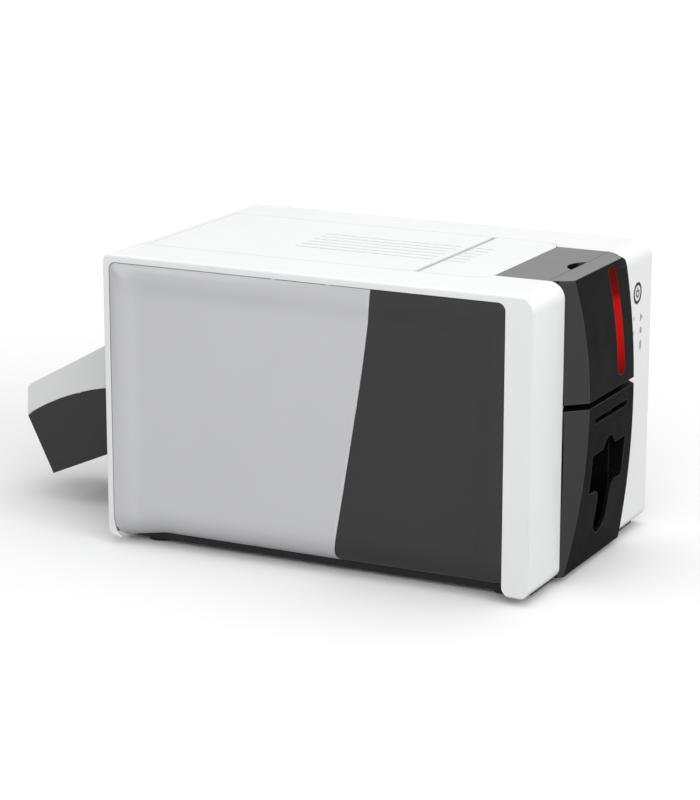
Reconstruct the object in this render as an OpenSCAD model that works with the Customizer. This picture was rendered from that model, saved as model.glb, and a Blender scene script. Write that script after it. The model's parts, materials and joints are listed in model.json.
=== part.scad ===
// Desktop printer for plastic identity cards: a casing of two side shells round
// a steel frame, a lifting hood that carries the print head, a card feeder in
// the front and an output hopper with a hinged lid at the rear.
// Millimetres, +Z up, front towards -Y, standing on its feet at Z = 0.

/* [Casing] */
// Width over the two side shells
body_w = 203; // [201:1:215]
// Height of the top above the table
body_h = 195; // [194:0.5:200]
// Length of the casing, without the nose and the hopper
body_l = 300; // [298:1:320]
// Height of the side shells above the table
shell_gap = 4.5; // [4:0.1:6]
// Wall of the moulded covers
wall = 2.4; // [2:0.1:2.8]
// Radius of the upper front corner of the shells
front_round = 10.5; // [6:0.5:12]
// Radius of the upper rear corner of the shells
rear_round = 4.5; // [3:0.5:6]
// Radius of the lower corners of the shells
low_round = 7; // [3:0.5:9]
// Rounding along the long upper edges
edge_round = 1.8; // [1:0.1:3]
// Open width of the seams between covers
seam = 0.4; // [0.3:0.05:0.6]
// Width of the white top covers between the side seams
top_w = 124; // [118:1:130]
// Width of the dark front between the pillars
deck_w = 102; // [101.5:0.5:104]
// Radius of the hood's front corners
hood_corner = 15; // [10:1:18]
// Depth of the strip behind the top cover
rear_strip = 9; // [7:0.5:12]
// Width of the rear flange of each side shell
rear_flange = 12.5; // [10:0.5:16]

/* [Side panels] */
// Front margin of the side panels
panel_front = 18; // [16:0.5:22]
// Rear margin of the side panels
panel_rear = 4; // [3.5:0.5:7]
// Top margin of the side panels
panel_top = 5; // [4:0.5:8]
// Height of the panels' lower edge above the table
panel_low = 9.3; // [8:0.1:10.5]
// Length of the foot at the rear end of that edge
panel_foot = 10; // [8:1:14]
// Length of the slope down to the foot
panel_dip = 28; // [20:1:36]
// Corner radius of the side panels
panel_corner = 5; // [3:0.5:7]
// Radius with which the panels turn under the casing
panel_turn = 12; // [8:0.5:13]
// Depth of the shallow field in each panel
dish_depth = 1; // [0.5:0.1:1.2]
// Flat border round the shallow field
dish_border = 12; // [8:0.5:16]
// Width of the slope round the shallow field
dish_slope = 6; // [4:0.5:8]
// Length of the dark panel along its lower edge
split_low = 117.6; // [110:0.5:125]
// Lean of the line between the two panels, in degrees
split_lean = 9.4; // [6:0.1:12]
// Height above which that line bends towards upright
split_bend_z = 115; // [100:1:130]
// Radius of that bend
split_bend_r = 1092; // [900:10:1400]
// Radius of the dark panel's lower rear corner
split_round = 5; // [3:0.5:7]

/* [Nose] */
// How far the nose stands out in front of the pillars
nose_out = 13; // [11:0.5:15]
// Height of the nose's foremost line
bulge_z = 112; // [108:0.5:116]
// Radius of the nose's upper face, seen from the side
nose_upper_r = 362; // [330:2:420]
// Radius of the nose's lower face, seen from the side
nose_lower_r = 500; // [460:5:560]
// Radius of the slanted cheeks, seen end on
cheek_r = 1680; // [1400:10:2000]
// Height of the widest line of the cheeks
cheek_z = 85; // [75:1:95]
// How far the cheeks start in front of the pillars
cheek_out = 0.9; // [0.5:0.1:2]
// Wall of the nose mouldings
nose_wall = 2.6; // [2.2:0.1:3]
// Top of the fixed lower front
bezel_top = 113; // [112:0.5:114]
// Underside of the hood's nose
hood_low = 117; // [116:0.5:118]
// Length of the hood's top cover from the pillars' front plane
hood_front = 47; // [45:0.5:49]
// Depth of the nose from the pillars' front plane back to its seam
nose_depth = 11; // [10:0.5:13]

/* [Cards] */
// Width of a standard card
card_w = 54; // [54:0.1:54.5]
// Thickness of a standard card
card_t = 0.76; // [0.7:0.02:0.84]
// Height of the card path
path_z = 102.5; // [101.5:0.1:103]
// Side play of a card in its guides
card_play = 0.6; // [0.4:0.1:0.8]

/* [Front openings] */
// Height of the single-card slot
slot_h = 3.6; // [3:0.1:3.9]
// Width of the single-card slot
slot_w = 56; // [55.5:0.5:58]
// Width of the feeder window
window_w = 56.4; // [56:0.2:58]
// Lower edge of the feeder window
window_low = 54.2; // [50:0.2:58]
// Upper edge of the feeder window
window_high = 80.3; // [78:0.1:81]
// Radius of the lobe above the window
lobe_r = 8.3; // [6:0.1:9]
// Height of the lobe above the window
lobe_h = 7; // [5:0.2:8]
// Radius of the flare between the lobe and the window
lobe_flare = 3.5; // [2:0.1:5]
// Half width of the finger notch below the window
notch_r = 10.5; // [8:0.5:12]
// Lowest point of the finger notch
notch_low = 22; // [21.6:0.2:26]
// Radius of the flare between the notch and the window
notch_flare = 7.5; // [5:0.5:9]

/* [Light strip] */
// Distance of the light strip from the middle
strip_x = 16.5; // [14:0.5:20]
// Width of the light strip
strip_w = 11.6; // [8:0.2:12]
// Lower end of the light strip
strip_low = 123.7; // [121:0.5:130]
// Distance of the strip's upper end below the top
strip_top = 2; // [2:0.5:8]

/* [Hood] */
// Distance of the hood hinge behind the pillars' front plane
hinge_back = 93.2; // [92:0.2:95]
// Radius of the hood's hinge barrel
barrel_r = 4; // [3.8:0.1:4.5]
// Radius of the hood's hinge pin
hinge_pin_r = 1.25; // [1:0.05:1.4]
// Running clearance of pins and shafts, on the radius
run_fit = 0.05; // [0.03:0.01:0.08]
// Depth of the hood skirts
skirt = 12; // [8:1:16]
// Radius of the arc that the latch arms follow
latch_r = 104; // [103:0.5:105]
// Radius of the catch pins
catch_r = 2; // [1.5:0.1:2.2]
// Clearance between the latch arms and the catch pins
latch_fit = 0.4; // [0.3:0.05:0.6]
// Half width of the release button
release_r = 13.2; // [11:0.2:15]
// Depth of the release button behind the nose seam
release_d = 7; // [5:0.5:9]
// Travel of the release button
release_travel = 2; // [1:0.1:2.5]
// Depth of the release button's face below the deck
release_drop = 3.5; // [2.6:0.1:4]

/* [Vents] */
// Width of a vent slot
vent_w = 1.2; // [0.8:0.1:1.6]
// Distance between vent slots
vent_pitch = 9; // [6:0.5:10]
// Number of vent slots
vents = 6; // [4:2:8]
// Length of the slots in the rear cover
vent_long = 99; // [80:1:110]
// Length of the slots in the hood
vent_short = 13; // [8:1:16]

/* [Controls] */
// Distance of the power button from the casing's side
power_x = 25.3; // [23:0.1:27.5]
// Depth of the power button below the top
power_z = 31.2; // [27:0.2:35]
// Radius of the power button's hole
power_r = 7.4; // [6:0.1:8]
// Travel of the power button
power_travel = 0.8; // [0.5:0.1:1.2]
// Gap round the buttons
button_fit = 0.3; // [0.2:0.05:0.4]
// Distance of the status lights from the button's axis, towards the middle
light_x = 5.7; // [4:0.1:8]
// Depth of the lowest status light below the power button
light_z = 35.8; // [32:0.2:39]
// Distance between the status lights
light_pitch = 9.8; // [8:0.2:11]
// Radius of a status light
light_r = 1.4; // [1:0.1:2]

/* [Frame] */
// Distance of the frame plates inside the pillars
frame_gap = 7; // [6.8:0.1:7.5]
// Sheet of the frame plates
frame_t = 1.5; // [1.2:0.1:1.5]
// Radius of a tie bar
tie_r = 3; // [2.5:0.1:4]
// Height of the rubber feet
foot_h = 3.4; // [3:0.1:3.8]
// Radius of the rubber feet
foot_r = 9; // [7:0.5:11]
// Floor of the base tray
tray_t = 2.4; // [2:0.1:2.8]

/* [Rollers and gears] */
// Radius of the drive rollers
roller_r = 8; // [7.8:0.05:8]
// Radius of the roller shafts
shaft_r = 3; // [2.5:0.1:3.2]
// Wall of the shaft bushes
bush_t = 1.5; // [1:0.1:1.6]
// Radius of the pinch rollers
pinch_r = 4; // [3.5:0.1:4]
// Radius of the pinch roller shafts
pinch_shaft_r = 2; // [1.5:0.1:2.2]
// Module of the gear teeth
gear_m = 1; // [1:0.01:1.02]
// Teeth of the roller gears
roller_teeth = 20; // [20:2:20]
// Teeth of the large idler gears
idler_teeth = 60; // [60:2:60]
// Teeth of the small idler gear
small_teeth = 24; // [24:2:24]
// Teeth of the motor pinion
pinion_teeth = 12; // [12:1:13]
// Width of the gears
gear_w = 6; // [4:0.5:6.5]
// Side play of the teeth at the pitch circle
backlash = 0.3; // [0.2:0.05:0.4]
// Distance of the platen behind the pillars' front plane
platen_back = 62; // [61:0.5:63]
// Distance of the front roller before the platen
front_reach = 34; // [33:0.5:35]
// Side of the square drive motor
motor_w = 42; // [38:1:43]
// Length of the drive motor
motor_l = 34; // [28:1:40]
// Radius of the ribbon motor
ribbon_motor_r = 11; // [9:0.5:11]
// Length of the ribbon motor
ribbon_motor_l = 24; // [16:1:30]

/* [Ribbon] */
// Radius of the full supply roll
supply_r = 15; // [12:0.5:16]
// Radius of the take-up roll
takeup_r = 8; // [6:0.5:8.5]
// Height of the supply spool
supply_z = 132; // [130:0.5:134]
// Height of the take-up spool
takeup_z = 126; // [125.5:0.5:127]
// Distance of the take-up spool behind the pillars' front plane
takeup_back = 9; // [8.5:0.5:10]
// Distance of the supply spool behind the pillars' front plane
supply_back = 90.5; // [89:0.5:92]
// Width of the ribbon
ribbon_w = 56; // [54:1:58]
// Thickness of the ribbon film
film_t = 0.15; // [0.1:0.01:0.2]
// Teeth of the ribbon gears
ribbon_teeth = 24; // [24:2:24]

/* [Feeder] */
// Wall of the card magazine
mag_wall = 2.5; // [2:0.1:2.6]
// Travel of the lifter plate
lift_travel = 38; // [30:1:40]
// Thickness of the lifter plate
lift_t = 2; // [1.6:0.1:2.4]
// Wire of the lifter springs
wire = 0.9; // [0.7:0.1:1]
// Mean radius of the lifter springs
coil_r = 3.2; // [2.6:0.1:3.4]
// Turns of a lifter spring
coils = 9; // [7:1:11]
// Radius of the pick roller
pick_r = 6; // [5.5:0.1:6]

/* [Hopper] */
// Width of the hopper
hopper_w = 66; // [65:0.5:74]
// Length of the hopper behind the casing
hopper_l = 107; // [104:0.5:110]
// Height of the lid where it meets the casing
lid_high = 138; // [136:0.5:140]
// Height of the lid at its far end
lid_end = 79.5; // [78:0.5:82]
// Crest height of the curved line between lid and tray
meet_z = 88.4; // [87:0.2:90]
// Radius of the curved line between lid and tray
meet_r = 180; // [170:2:200]
// Height of the tray's floor where it meets the casing
tray_high = 56.6; // [55:0.5:58]
// Height of the tray's lowest point
tray_low = 19.3; // [17:0.5:22]
// How far the tray's lowest point lies before its end
tray_lean = 20.4; // [18:0.2:23]
// Wall of the hopper mouldings
hopper_wall = 2.2; // [1.8:0.1:2.4]
// Radius of the lid's hinge pin
lid_pin_r = 1.5; // [1.2:0.1:1.8]
// Radius of the lid's hinge barrel
lid_barrel_r = 4.2; // [3.8:0.1:4.4]

/* [Hidden] */
white = [0.95, 0.95, 0.96];
light_grey = [0.75, 0.75, 0.77];
charcoal = [0.2, 0.2, 0.2];
black = [0.1, 0.1, 0.1];
red = [0.75, 0.07, 0.06];
steel = [0.72, 0.73, 0.75];
acetal = [0.88, 0.87, 0.82];
rubber = [0.13, 0.13, 0.14];
board_green = [0.08, 0.33, 0.18];

fine = 96;
huge = 400;
skin = 0.01;

front_y = -body_l / 2;
rear_y = body_l / 2;
side_x = body_w / 2;
nose_y = front_y - nose_out;
hopper_y = rear_y + hopper_l;
middle_y = (nose_y + hopper_y) / 2;
deck_x = deck_w / 2;
top_x = top_w / 2;
hood_y = front_y + hood_front;
seam_y = front_y + nose_depth;
hinge_y = front_y + hinge_back;
hinge_z = body_h - barrel_r;
strip_y = rear_y - rear_strip;
top_front_y = hinge_y + barrel_r + seam;
// back of the cut for the light strip, behind the nose's wall at the strip's upper end
strip_back = max(front_y, nose_y + nose_upper_r + nose_wall + 0.5
    - sqrt(nose_upper_r * nose_upper_r - pow(body_h - strip_top - bulge_z, 2)));

panel_y0 = front_y + panel_front;
panel_y1 = rear_y - panel_rear;
panel_z1 = body_h - panel_top;
panel_sink = 0.2;
foot_y1 = rear_y - panel_foot;
foot_y0 = foot_y1 - panel_dip;
backing = 2;

screw_r = 1.5;
screw_head_r = 2.8;
screw_head = 1.6;
tap_r = screw_r - 0.3;
post_r = 3;
press = 0.02;

frame_x = deck_x - frame_gap;
frame_out = frame_x + frame_t;
floor_z = foot_h + tray_t;
foot_x = side_x - 27.5;
foot_y = body_l / 2 - 25;
foot_peg_r = 3;
foot_peg = 4;
tray_x = side_x - panel_turn - 3;
tray_y0 = front_y + 4;
tray_y1 = rear_y - 3;
tray_rim = 7;
tray_rim_z = foot_h + tray_rim;
tray_slot = [18, 2];

roller_z = path_z - roller_r;
platen_y = front_y + platen_back;
front_roller_y = platen_y - front_reach;
roller_gear_r = gear_m * roller_teeth / 2;
idler_gear_r = gear_m * idler_teeth / 2;
small_gear_r = gear_m * small_teeth / 2;
pinion_gear_r = gear_m * pinion_teeth / 2;
ribbon_gear_r = gear_m * ribbon_teeth / 2;
middle_idler_y = platen_y + roller_gear_r + idler_gear_r;
middle_roller_y = middle_idler_y + roller_gear_r + idler_gear_r;
rear_idler_y = middle_roller_y + roller_gear_r + idler_gear_r;
exit_roller_y = rear_idler_y + roller_gear_r + idler_gear_r;
front_idler_y = platen_y - front_reach / 2;
front_idler_z = roller_z - sqrt(pow(roller_gear_r + small_gear_r, 2) - pow(front_reach / 2, 2));
motor_z = roller_z - idler_gear_r - pinion_gear_r;
gear_x = frame_out + 1.5;
sleeve_x = card_w / 2 - 3;
pinch_z = path_z + card_t + pinch_r;
bush_flange = 0.6;
bush_r = shaft_r + bush_t;

supply_y = front_y + supply_back;
takeup_y = front_y + takeup_back;
spool_x = ribbon_w / 2;
spool_fit = 0.4;
flange_t = 1.6;
spool_gear_x = frame_x - 8;
ribbon_angle = 20;
ribbon_pinion_y = takeup_y + 2 * ribbon_gear_r * cos(ribbon_angle);
ribbon_pinion_z = takeup_z + 2 * ribbon_gear_r * sin(ribbon_angle);
ribbon_gear_w = 4;
ribbon_shaft_r = 1.5;
ribbon_boss_r = 5;
film_z = path_z + card_t - film_t;
// The film's way from the supply roll under the head to the take-up roll
film_path = [[supply_y - supply_r - 0.3, supply_z - 3], [platen_y + 12, film_z + 1],
    [platen_y, film_z], [platen_y - 9, film_z + 0.9],
    [takeup_y + takeup_r * 0.45, takeup_z - takeup_r - 0.1]];

mag_x = card_w / 2 + card_play + 0.4;
mag_y0 = front_y - 1;
mag_y1 = front_y + 80;
mag_floor = notch_low - 1;
lift_z = window_high + 0.2;
pick_y = front_idler_y;
pick_z = lift_z + lift_t + card_t + pick_r;
spring_x = mag_x + mag_wall + coil_r + 1.2;
spring_y = front_y + 38;
mag_top = window_high + 4;
sleeve_top = mag_top + 4;
ear_half = 4.5;
pick_w = 24;
pick_shaft_r = 2.5;

track_x = card_w / 2 + card_play;
track_t = 2;
track_out = track_x + track_t;
track_z1 = path_z - 0.3;
track_z0 = track_z1 - track_t;
track_edge = path_z + 1.6;
track_y0 = front_y - 5;
track_y1 = exit_roller_y + 12;
track_feed_y = middle_roller_y - 12;
chute_y = rear_y - wall - 0.3;

// Sheet of the frame plates: margins of its ears, its bars and its screws
ear_margin = 12;
ear_r = hinge_pin_r + 0.9;
frame_y0 = front_y + 4;
takeup_ear_y = takeup_y - 7;
supply_ear_z = supply_z + ear_margin;
spool_shaft_r = 3.5;
tie_end_r = 2;
rear_tie_z = 36;
tie_points = [[mag_y1 + 10, 50], [middle_idler_y + 8, 40], [rear_y - 20, rear_tie_z], [0, path_z + 8]];
tab_x = frame_x - 13;
tab_half = 9;
frame_screws = [[frame_x - 7, front_y + 30], [frame_x - 7, 0], [frame_x - 7, rear_y - 40]];
relief_r = 12;

// Latch of the hood
latch_a = 48;
catch_y = hinge_y - (latch_r + latch_fit + catch_r) * sin(latch_a);
catch_z = hinge_z - (latch_r + latch_fit + catch_r) * cos(latch_a);
arm_y = front_y + 14;
arm_z = catch_z + 6.2;
arm_t = 1.6;
arm_x = frame_out + 0.9;

// Print head and its bracket
head_x = card_w / 2 + 4;
head_sheet = 1.5;
head_top = path_z + 10;
head_gap = 0.35;
head_low = path_z + card_t + head_gap;
rib_rise = 60;

// Controls behind the right pillar
button_x = side_x - power_x;
button_z = body_h - power_z;
lights_x = button_x - light_x;
lights_z = button_z - light_z;
board_y = front_y + 9;
board_t = 1.6;
light_board_x = [deck_x + 7.2, side_x - 7.3];
light_board_z = [lights_z - 12, button_z + 16];
light_screws = [for (x = [light_board_x[0] + 4, light_board_x[1] - 4])
    for (z = [light_board_z[0] + 4, light_board_z[1] - 4]) [x, z]];

// Main board and sockets in the rear panel
port_x = side_x - 37.5;
board_x = port_x - 2;
board_y0 = -20;
board_y1 = rear_y - 16;
board_z = [floor_z + 4.2, path_z + 15.5];
board_face = board_x + board_t + press;
board_posts = [for (y = [board_y0 + 10, board_y0 + 88]) for (z = [board_z[0] + 6, board_z[1] - 6]) [y, z]];
port_fit = 0.4;
usb_z = 62;
usb_w = 12;
usb_h = 11;
net_z = 30;
net_w = 16;
net_h = 13.5;
inlet_x = port_x + 7;
inlet_z = 92;
inlet_r = 6;
hook_z = 66;
hook_h = 10;
rear_vents = 6;
rear_vent_z = body_h - 45;
rear_vent_pitch = 5;
rear_vent_h = 1.6;

meet_y = rear_y + 8;
hopper_x = hopper_w / 2;
arm_out = hopper_x - hopper_wall - 0.5;
arm_in = arm_out - 2;
arm_half = 4;
lid_pin_y = rear_y + lid_barrel_r + 0.4;
lid_pin_z = lid_high - 7;
mouth_x = card_w / 2 + 2.5;
mouth_low = tray_high + 2;
mouth_high = lid_high - 3;

// ---------------------------------------------------------------- helpers

// The part's origin lies under the middle of its whole length
module placed() translate([0, -middle_y, 0]) children();

// A box between two opposite corners
module box(lo, hi) translate(lo) cube(hi - lo);

// Extrudes an outline drawn in Y and Z from x0 to x1
module along_x(x0, x1) translate([x0, 0, 0]) rotate([90, 0, 90]) linear_extrude(x1 - x0) children();

// Extrudes an outline drawn in X and Z from y0 to y1
module along_y(y0, y1) translate([0, y1, 0]) rotate([90, 0, 0]) linear_extrude(y1 - y0) children();

// A round bar along X
module rod(x0, x1, y, z, r) translate([x0, y, z]) rotate([0, 90, 0]) cylinder(h = x1 - x0, r = r, $fn = fine);

// A round bar along Y
module peg(x, y0, y1, z, r) translate([x, y1, z]) rotate([90, 0, 0]) cylinder(h = y1 - y0, r = r, $fn = fine);

// The child and its mirror image on the other side
module both() {
    children();
    mirror([1, 0, 0]) children();
}

// Takes one square corner off a rectangle, down to radius r
module corner_off(r, smooth = fine) if (r > 0) difference() {
    translate([-1, -1]) square(r + 1);
    translate([r, r]) circle(r, $fn = smooth);
}

// A rectangle with its own radius at each corner:
// low left, low right, high right, high left
module rounded(lo, hi, r) difference() {
    translate(lo) square(hi - lo);
    translate(lo) corner_off(r[0]);
    translate([hi.x, lo.y]) rotate(90) corner_off(r[1]);
    translate(hi) rotate(180) corner_off(r[2]);
    translate([lo.x, hi.y]) rotate(270) corner_off(r[3]);
}

// ---------------------------------------------------------------- casing forms

// The casing's outer form, drawn in by t; a drawn-in form is open below
module casing(t) {
    low = t > 0 ? -1 : shell_gap;
    corner = max(edge_round - t, 0.2);
    intersection() {
        along_x(-side_x + t, side_x - t)
            rounded([front_y + t, low], [rear_y - t, body_h - t],
                [low_round, low_round, rear_round - t, front_round - t]);
        along_y(front_y - 1, rear_y + 1)
            rounded([-side_x + t, low], [side_x - t, body_h - t], [corner, corner, corner, corner]);
    }
}

// Plan of the bay that the top covers and the dark front fill, grown by g
module bay_plan(g) {
    translate([-deck_x - g, nose_y - 10]) square([deck_w + 2 * g, hood_y - nose_y + 11]);
    rounded([-top_x - g, hood_y - g], [top_x + g, huge],
        [hood_corner + g, hood_corner + g, 1, 1]);
}

// Side view of the recess that the two panels share, drawn in by g
module panel_outline(g) difference() {
    rounded([panel_y0 + g, shell_gap + g], [panel_y1 - g, panel_z1 - g],
        [0, low_round + 1 - g, panel_corner - g, panel_corner - g]);
    // the lower edge rises in front of the foot
    polygon([[panel_y0, -1], [panel_y0, panel_low + g], [foot_y0, panel_low + g], [foot_y1, shell_gap + g],
        [foot_y1, -1]]);
    translate([panel_y0 + g, panel_low + g]) corner_off(panel_corner - g);
}

// Y of the line between the two panels at height z
function split_y(z) = panel_y0 + split_low - (z - panel_low) * tan(split_lean)
    + (z > split_bend_z ? pow(z - split_bend_z, 2) / (2 * split_bend_r) : 0);

// Everything in front of the line between the panels, moved by g
module split_zone(g) {
    steps = 12;
    top = body_h + 5;
    low = panel_low + seam / 2 - g;
    mid = [split_y(low + split_round) + g - split_round / cos(split_lean), low + split_round];
    difference() {
        polygon(concat(
            [[front_y - 5, -5], [split_y(-5) + g, -5]],
            [for (i = [0:steps]) let (z = split_bend_z + (top - split_bend_z) * i / steps) [split_y(z) + g, z]],
            [[front_y - 5, top]]));
        difference() {
            polygon([mid, mid + polar(split_round + 1, split_lean), [split_y(-5) + 1, -5], [mid.x, -6]]);
            translate(mid) circle(split_round, $fn = fine);
        }
    }
}

// A block with the panels' outer face and turned lower edge, between y0 and y1,
// with its underside at height z and drawn in by t
module turned_block(y0, y1, z, t, smooth = fine) along_y(y0, y1) difference() {
    translate([side_x - 2 * panel_turn, z + t]) square([2 * panel_turn - panel_sink - t, panel_z1 + t - z]);
    translate([side_x - panel_sink - t, z + t]) rotate(90) corner_off(panel_turn - t, smooth);
}

// That block over the panels' whole length, with the dip down to the rear foot
module panel_block(t) {
    turned_block(panel_y0, foot_y0, panel_low, t);
    hull() {
        turned_block(foot_y0, foot_y0 + skin, panel_low, t, 32);
        turned_block(foot_y1 - skin, foot_y1, shell_gap, t, 32);
    }
    turned_block(foot_y1, panel_y1, shell_gap, t);
}

// One side panel before it is split: a skin that turns under the casing,
// with a shallow field pressed into its face
module side_panel() difference() {
    intersection() {
        difference() {
            panel_block(0);
            panel_block(wall - panel_sink);
        }
        along_x(side_x - panel_turn, side_x) panel_outline(seam);
    }
    hull() {
        along_x(side_x, side_x + 1) dish_outline(dish_border);
        along_x(side_x - panel_sink - dish_depth, side_x) dish_outline(dish_border + dish_slope);
    }
}

// Outline of the shallow field, in by g from the panel's edge; it runs out below
module dish_outline(g) rounded([panel_y0 + g, -huge / 10], [panel_y1 - g, panel_z1 - g],
    [1, 1, panel_corner, panel_corner]);

module panel_front_part() intersection() {
    side_panel();
    along_x(0, side_x + 1) split_zone(-seam / 2);
}

module panel_rear_part() difference() {
    side_panel();
    along_x(0, side_x + 2) split_zone(seam / 2);
}

// One side shell, drawn for the right-hand side
module side_shell() difference() {
    union() {
        difference() {
            casing(0);
            casing(wall);
            translate([0, 0, -huge / 2]) linear_extrude(huge * 2) bay_plan(seam / 2);
            box([-huge, -huge, -1], [0, huge, huge]);
            // the rear panel's place
            box([-1, rear_y - wall - 1, -1],
                [side_x - rear_flange, rear_y + 1, body_h - rear_round - seam]);
        }
        // backing wall behind the two panels
        along_x(side_x - wall - backing, side_x - wall)
            rounded([panel_y0 - 4, panel_low + panel_turn], [rear_y - wall, body_h - wall], [3, 3, 3, 3]);
        // return wall of the front pillar
        intersection() {
            casing(0);
            box([deck_x + seam / 2, front_y, tray_rim_z + 1],
                [deck_x + seam / 2 + wall, front_y + 14, body_h]);
        }
        // ledge that carries the top panel
        box([top_x - 5, top_front_y + 4, body_h - 2 * wall], [top_x + 4, strip_y, body_h - wall]);
    }
    // recess for the panels, the open arch below them and the pillar's lower corner
    along_x(side_x - wall, side_x + 1) panel_outline(0);
    box([side_x - wall - 1, panel_y0, -1], [side_x + 1, foot_y1 + 1.5, panel_low + panel_corner]);
    along_x(side_x - wall - 1, side_x + 1) translate([panel_y0, shell_gap]) rotate(90) corner_off(low_round);
}

// ---------------------------------------------------------------- nose forms

// The space between the two slanted cheeks, drawn in by t
module cheeks(t) intersection_for (m = [0, 1]) mirror([m, 0, 0]) rotate([0, 0, -45])
    along_y(-huge, huge)
        translate([(deck_x - front_y + cheek_out) / sqrt(2) - cheek_r, cheek_z])
            circle(cheek_r - t, $fn = 720);

// A slice of the nose between two heights, drawn in by t
module nose_form(z0, z1, arc_r, t) intersection() {
    along_x(-deck_x + seam / 2 + t, deck_x - seam / 2 - t) intersection() {
        translate([nose_y + arc_r, bulge_z]) circle(arc_r - t, $fn = 720);
        translate([nose_y - 1, z0]) square([seam_y + t - nose_y + 1, z1 - z0]);
    }
    cheeks(t);
}

// Window of the feeder: a rectangle with a lobe above and a finger notch below
module window_outline() {
    half = window_w / 2;
    rounded([-half, window_low], [half, window_high], [2, 2, 2, 2]);
    translate([0, window_high + lobe_h - lobe_r]) circle(lobe_r, $fn = fine);
    difference() {
        translate([-lobe_r - lobe_flare, window_high - 1])
            square([2 * (lobe_r + lobe_flare), lobe_flare + 1]);
        for (s = [-1, 1]) translate([s * (lobe_r + lobe_flare), window_high + lobe_flare])
            circle(lobe_flare, $fn = fine);
    }
    translate([0, notch_low + notch_r]) circle(notch_r, $fn = fine);
    translate([-notch_r, notch_low + notch_r]) square([2 * notch_r, window_low - notch_low - notch_r + 1]);
    difference() {
        translate([-notch_r - notch_flare, window_low - notch_flare])
            square([2 * (notch_r + notch_flare), notch_flare + 1]);
        for (s = [-1, 1]) translate([s * (notch_r + notch_flare), window_low - notch_flare])
            circle(notch_flare, $fn = fine);
    }
}

// Front view of the light strip, grown by g
module strip_outline(g) {
    r = strip_w / 2 + g;
    z0 = strip_low + strip_w / 2;
    z1 = body_h - strip_top - strip_w / 2;
    translate([strip_x, z0]) circle(r, $fn = fine);
    translate([strip_x, z1]) circle(r, $fn = fine);
    translate([strip_x - r, z0]) square([2 * r, z1 - z0]);
}

// Plan of the release button: a flat side on the seam and a round back, grown by g
module release_plan(g) intersection() {
    translate([-release_r - g, seam_y - g]) square([2 * (release_r + g), release_d + 2 * g]);
    bow = (release_r * release_r + release_d * release_d) / (2 * release_d);
    translate([0, seam_y + release_d - bow]) circle(bow + g, $fn = fine);
}

// A row of vent slots from y0 to y1, cut down from the top
module vent_slots(y0, y1, depth) for (i = [0:vents - 1])
    translate([(i - (vents - 1) / 2) * vent_pitch, 0, 0])
        box([-vent_w / 2, y0, body_h - depth], [vent_w / 2, y1, body_h + 1]);

// ---------------------------------------------------------------- gears

// Involute of the base circle at radius r, in degrees
function involute(r, rb) = r <= rb ? 0 : tan(acos(rb / r)) * 180 / PI - acos(rb / r);

// Half the angle of a tooth at radius r on a gear of n teeth
function tooth_half(r, n) = let (rp = gear_m * n / 2, rb = rp * cos(20))
    90 / n - backlash / 2 / rp * 180 / PI + involute(rp, rb) - involute(max(r, rb), rb);

function polar(r, a) = [r * cos(a), r * sin(a)];

// Outline of a gear of n teeth, with a tooth centred at angle a
module gear_outline(n, a) {
    rp = gear_m * n / 2;
    radii = [rp - 1.2 * gear_m, rp - 0.45 * gear_m, rp + 0.2 * gear_m, rp + 0.85 * gear_m];
    polygon([for (i = [0:n - 1]) let (c = a + 360 * i / n) each concat(
        [for (r = radii) polar(r, c - tooth_half(r, n))],
        [for (k = [3:-1:0]) polar(radii[k], c + tooth_half(radii[k], n))])]);
}

// A gear on an X axis between x0 and x1, with a bore of radius b and a thin web
module gear(n, a, x0, x1, y, z, b) {
    rp = gear_m * n / 2;
    hub = b + 2.5;
    rim = rp - 4;
    translate([0, y, z]) difference() {
        along_x(x0, x1) gear_outline(n, a);
        rod(x0 - 1, x1 + 1, 0, 0, b);
        if (rim > hub + 3) {
            for (side = [[x0 - 1, x0 + 1.5], [x1 - 1.5, x1 + 1]]) difference() {
                rod(side[0], side[1], 0, 0, rim);
                rod(side[0] - 1, side[1] + 1, 0, 0, hub);
            }
            if (rim > hub + 8) for (k = [0:5]) rotate([k * 60, 0, 0])
                rod(x0 - 1, x1 + 1, 0, (rim + hub) / 2, (rim - hub) / 2 - 3);
        }
    }
}

// Tooth angle of a gear of nb teeth that meshes with one of na teeth at angle a,
// where t is the direction from the first gear to the second
function meshed(t, a, na, nb) = t + 180 - 360 / nb * (0.5 - (t - a) * na / 360);

middle_idler_a = 0;
platen_a = meshed(180, middle_idler_a, idler_teeth, roller_teeth);
front_down = atan2(front_idler_z - roller_z, -front_reach / 2);
front_idler_a = meshed(front_down, platen_a, roller_teeth, small_teeth);
front_gear_a = meshed(atan2(roller_z - front_idler_z, -front_reach / 2), front_idler_a, small_teeth, roller_teeth);
middle_gear_a = meshed(0, middle_idler_a, idler_teeth, roller_teeth);
rear_idler_a = meshed(0, middle_gear_a, roller_teeth, idler_teeth);
exit_gear_a = meshed(0, rear_idler_a, idler_teeth, roller_teeth);
pinion_a = meshed(-90, rear_idler_a, idler_teeth, pinion_teeth);
ribbon_a = meshed(ribbon_angle, 0, ribbon_teeth, ribbon_teeth);

// ---------------------------------------------------------------- base and casing

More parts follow.
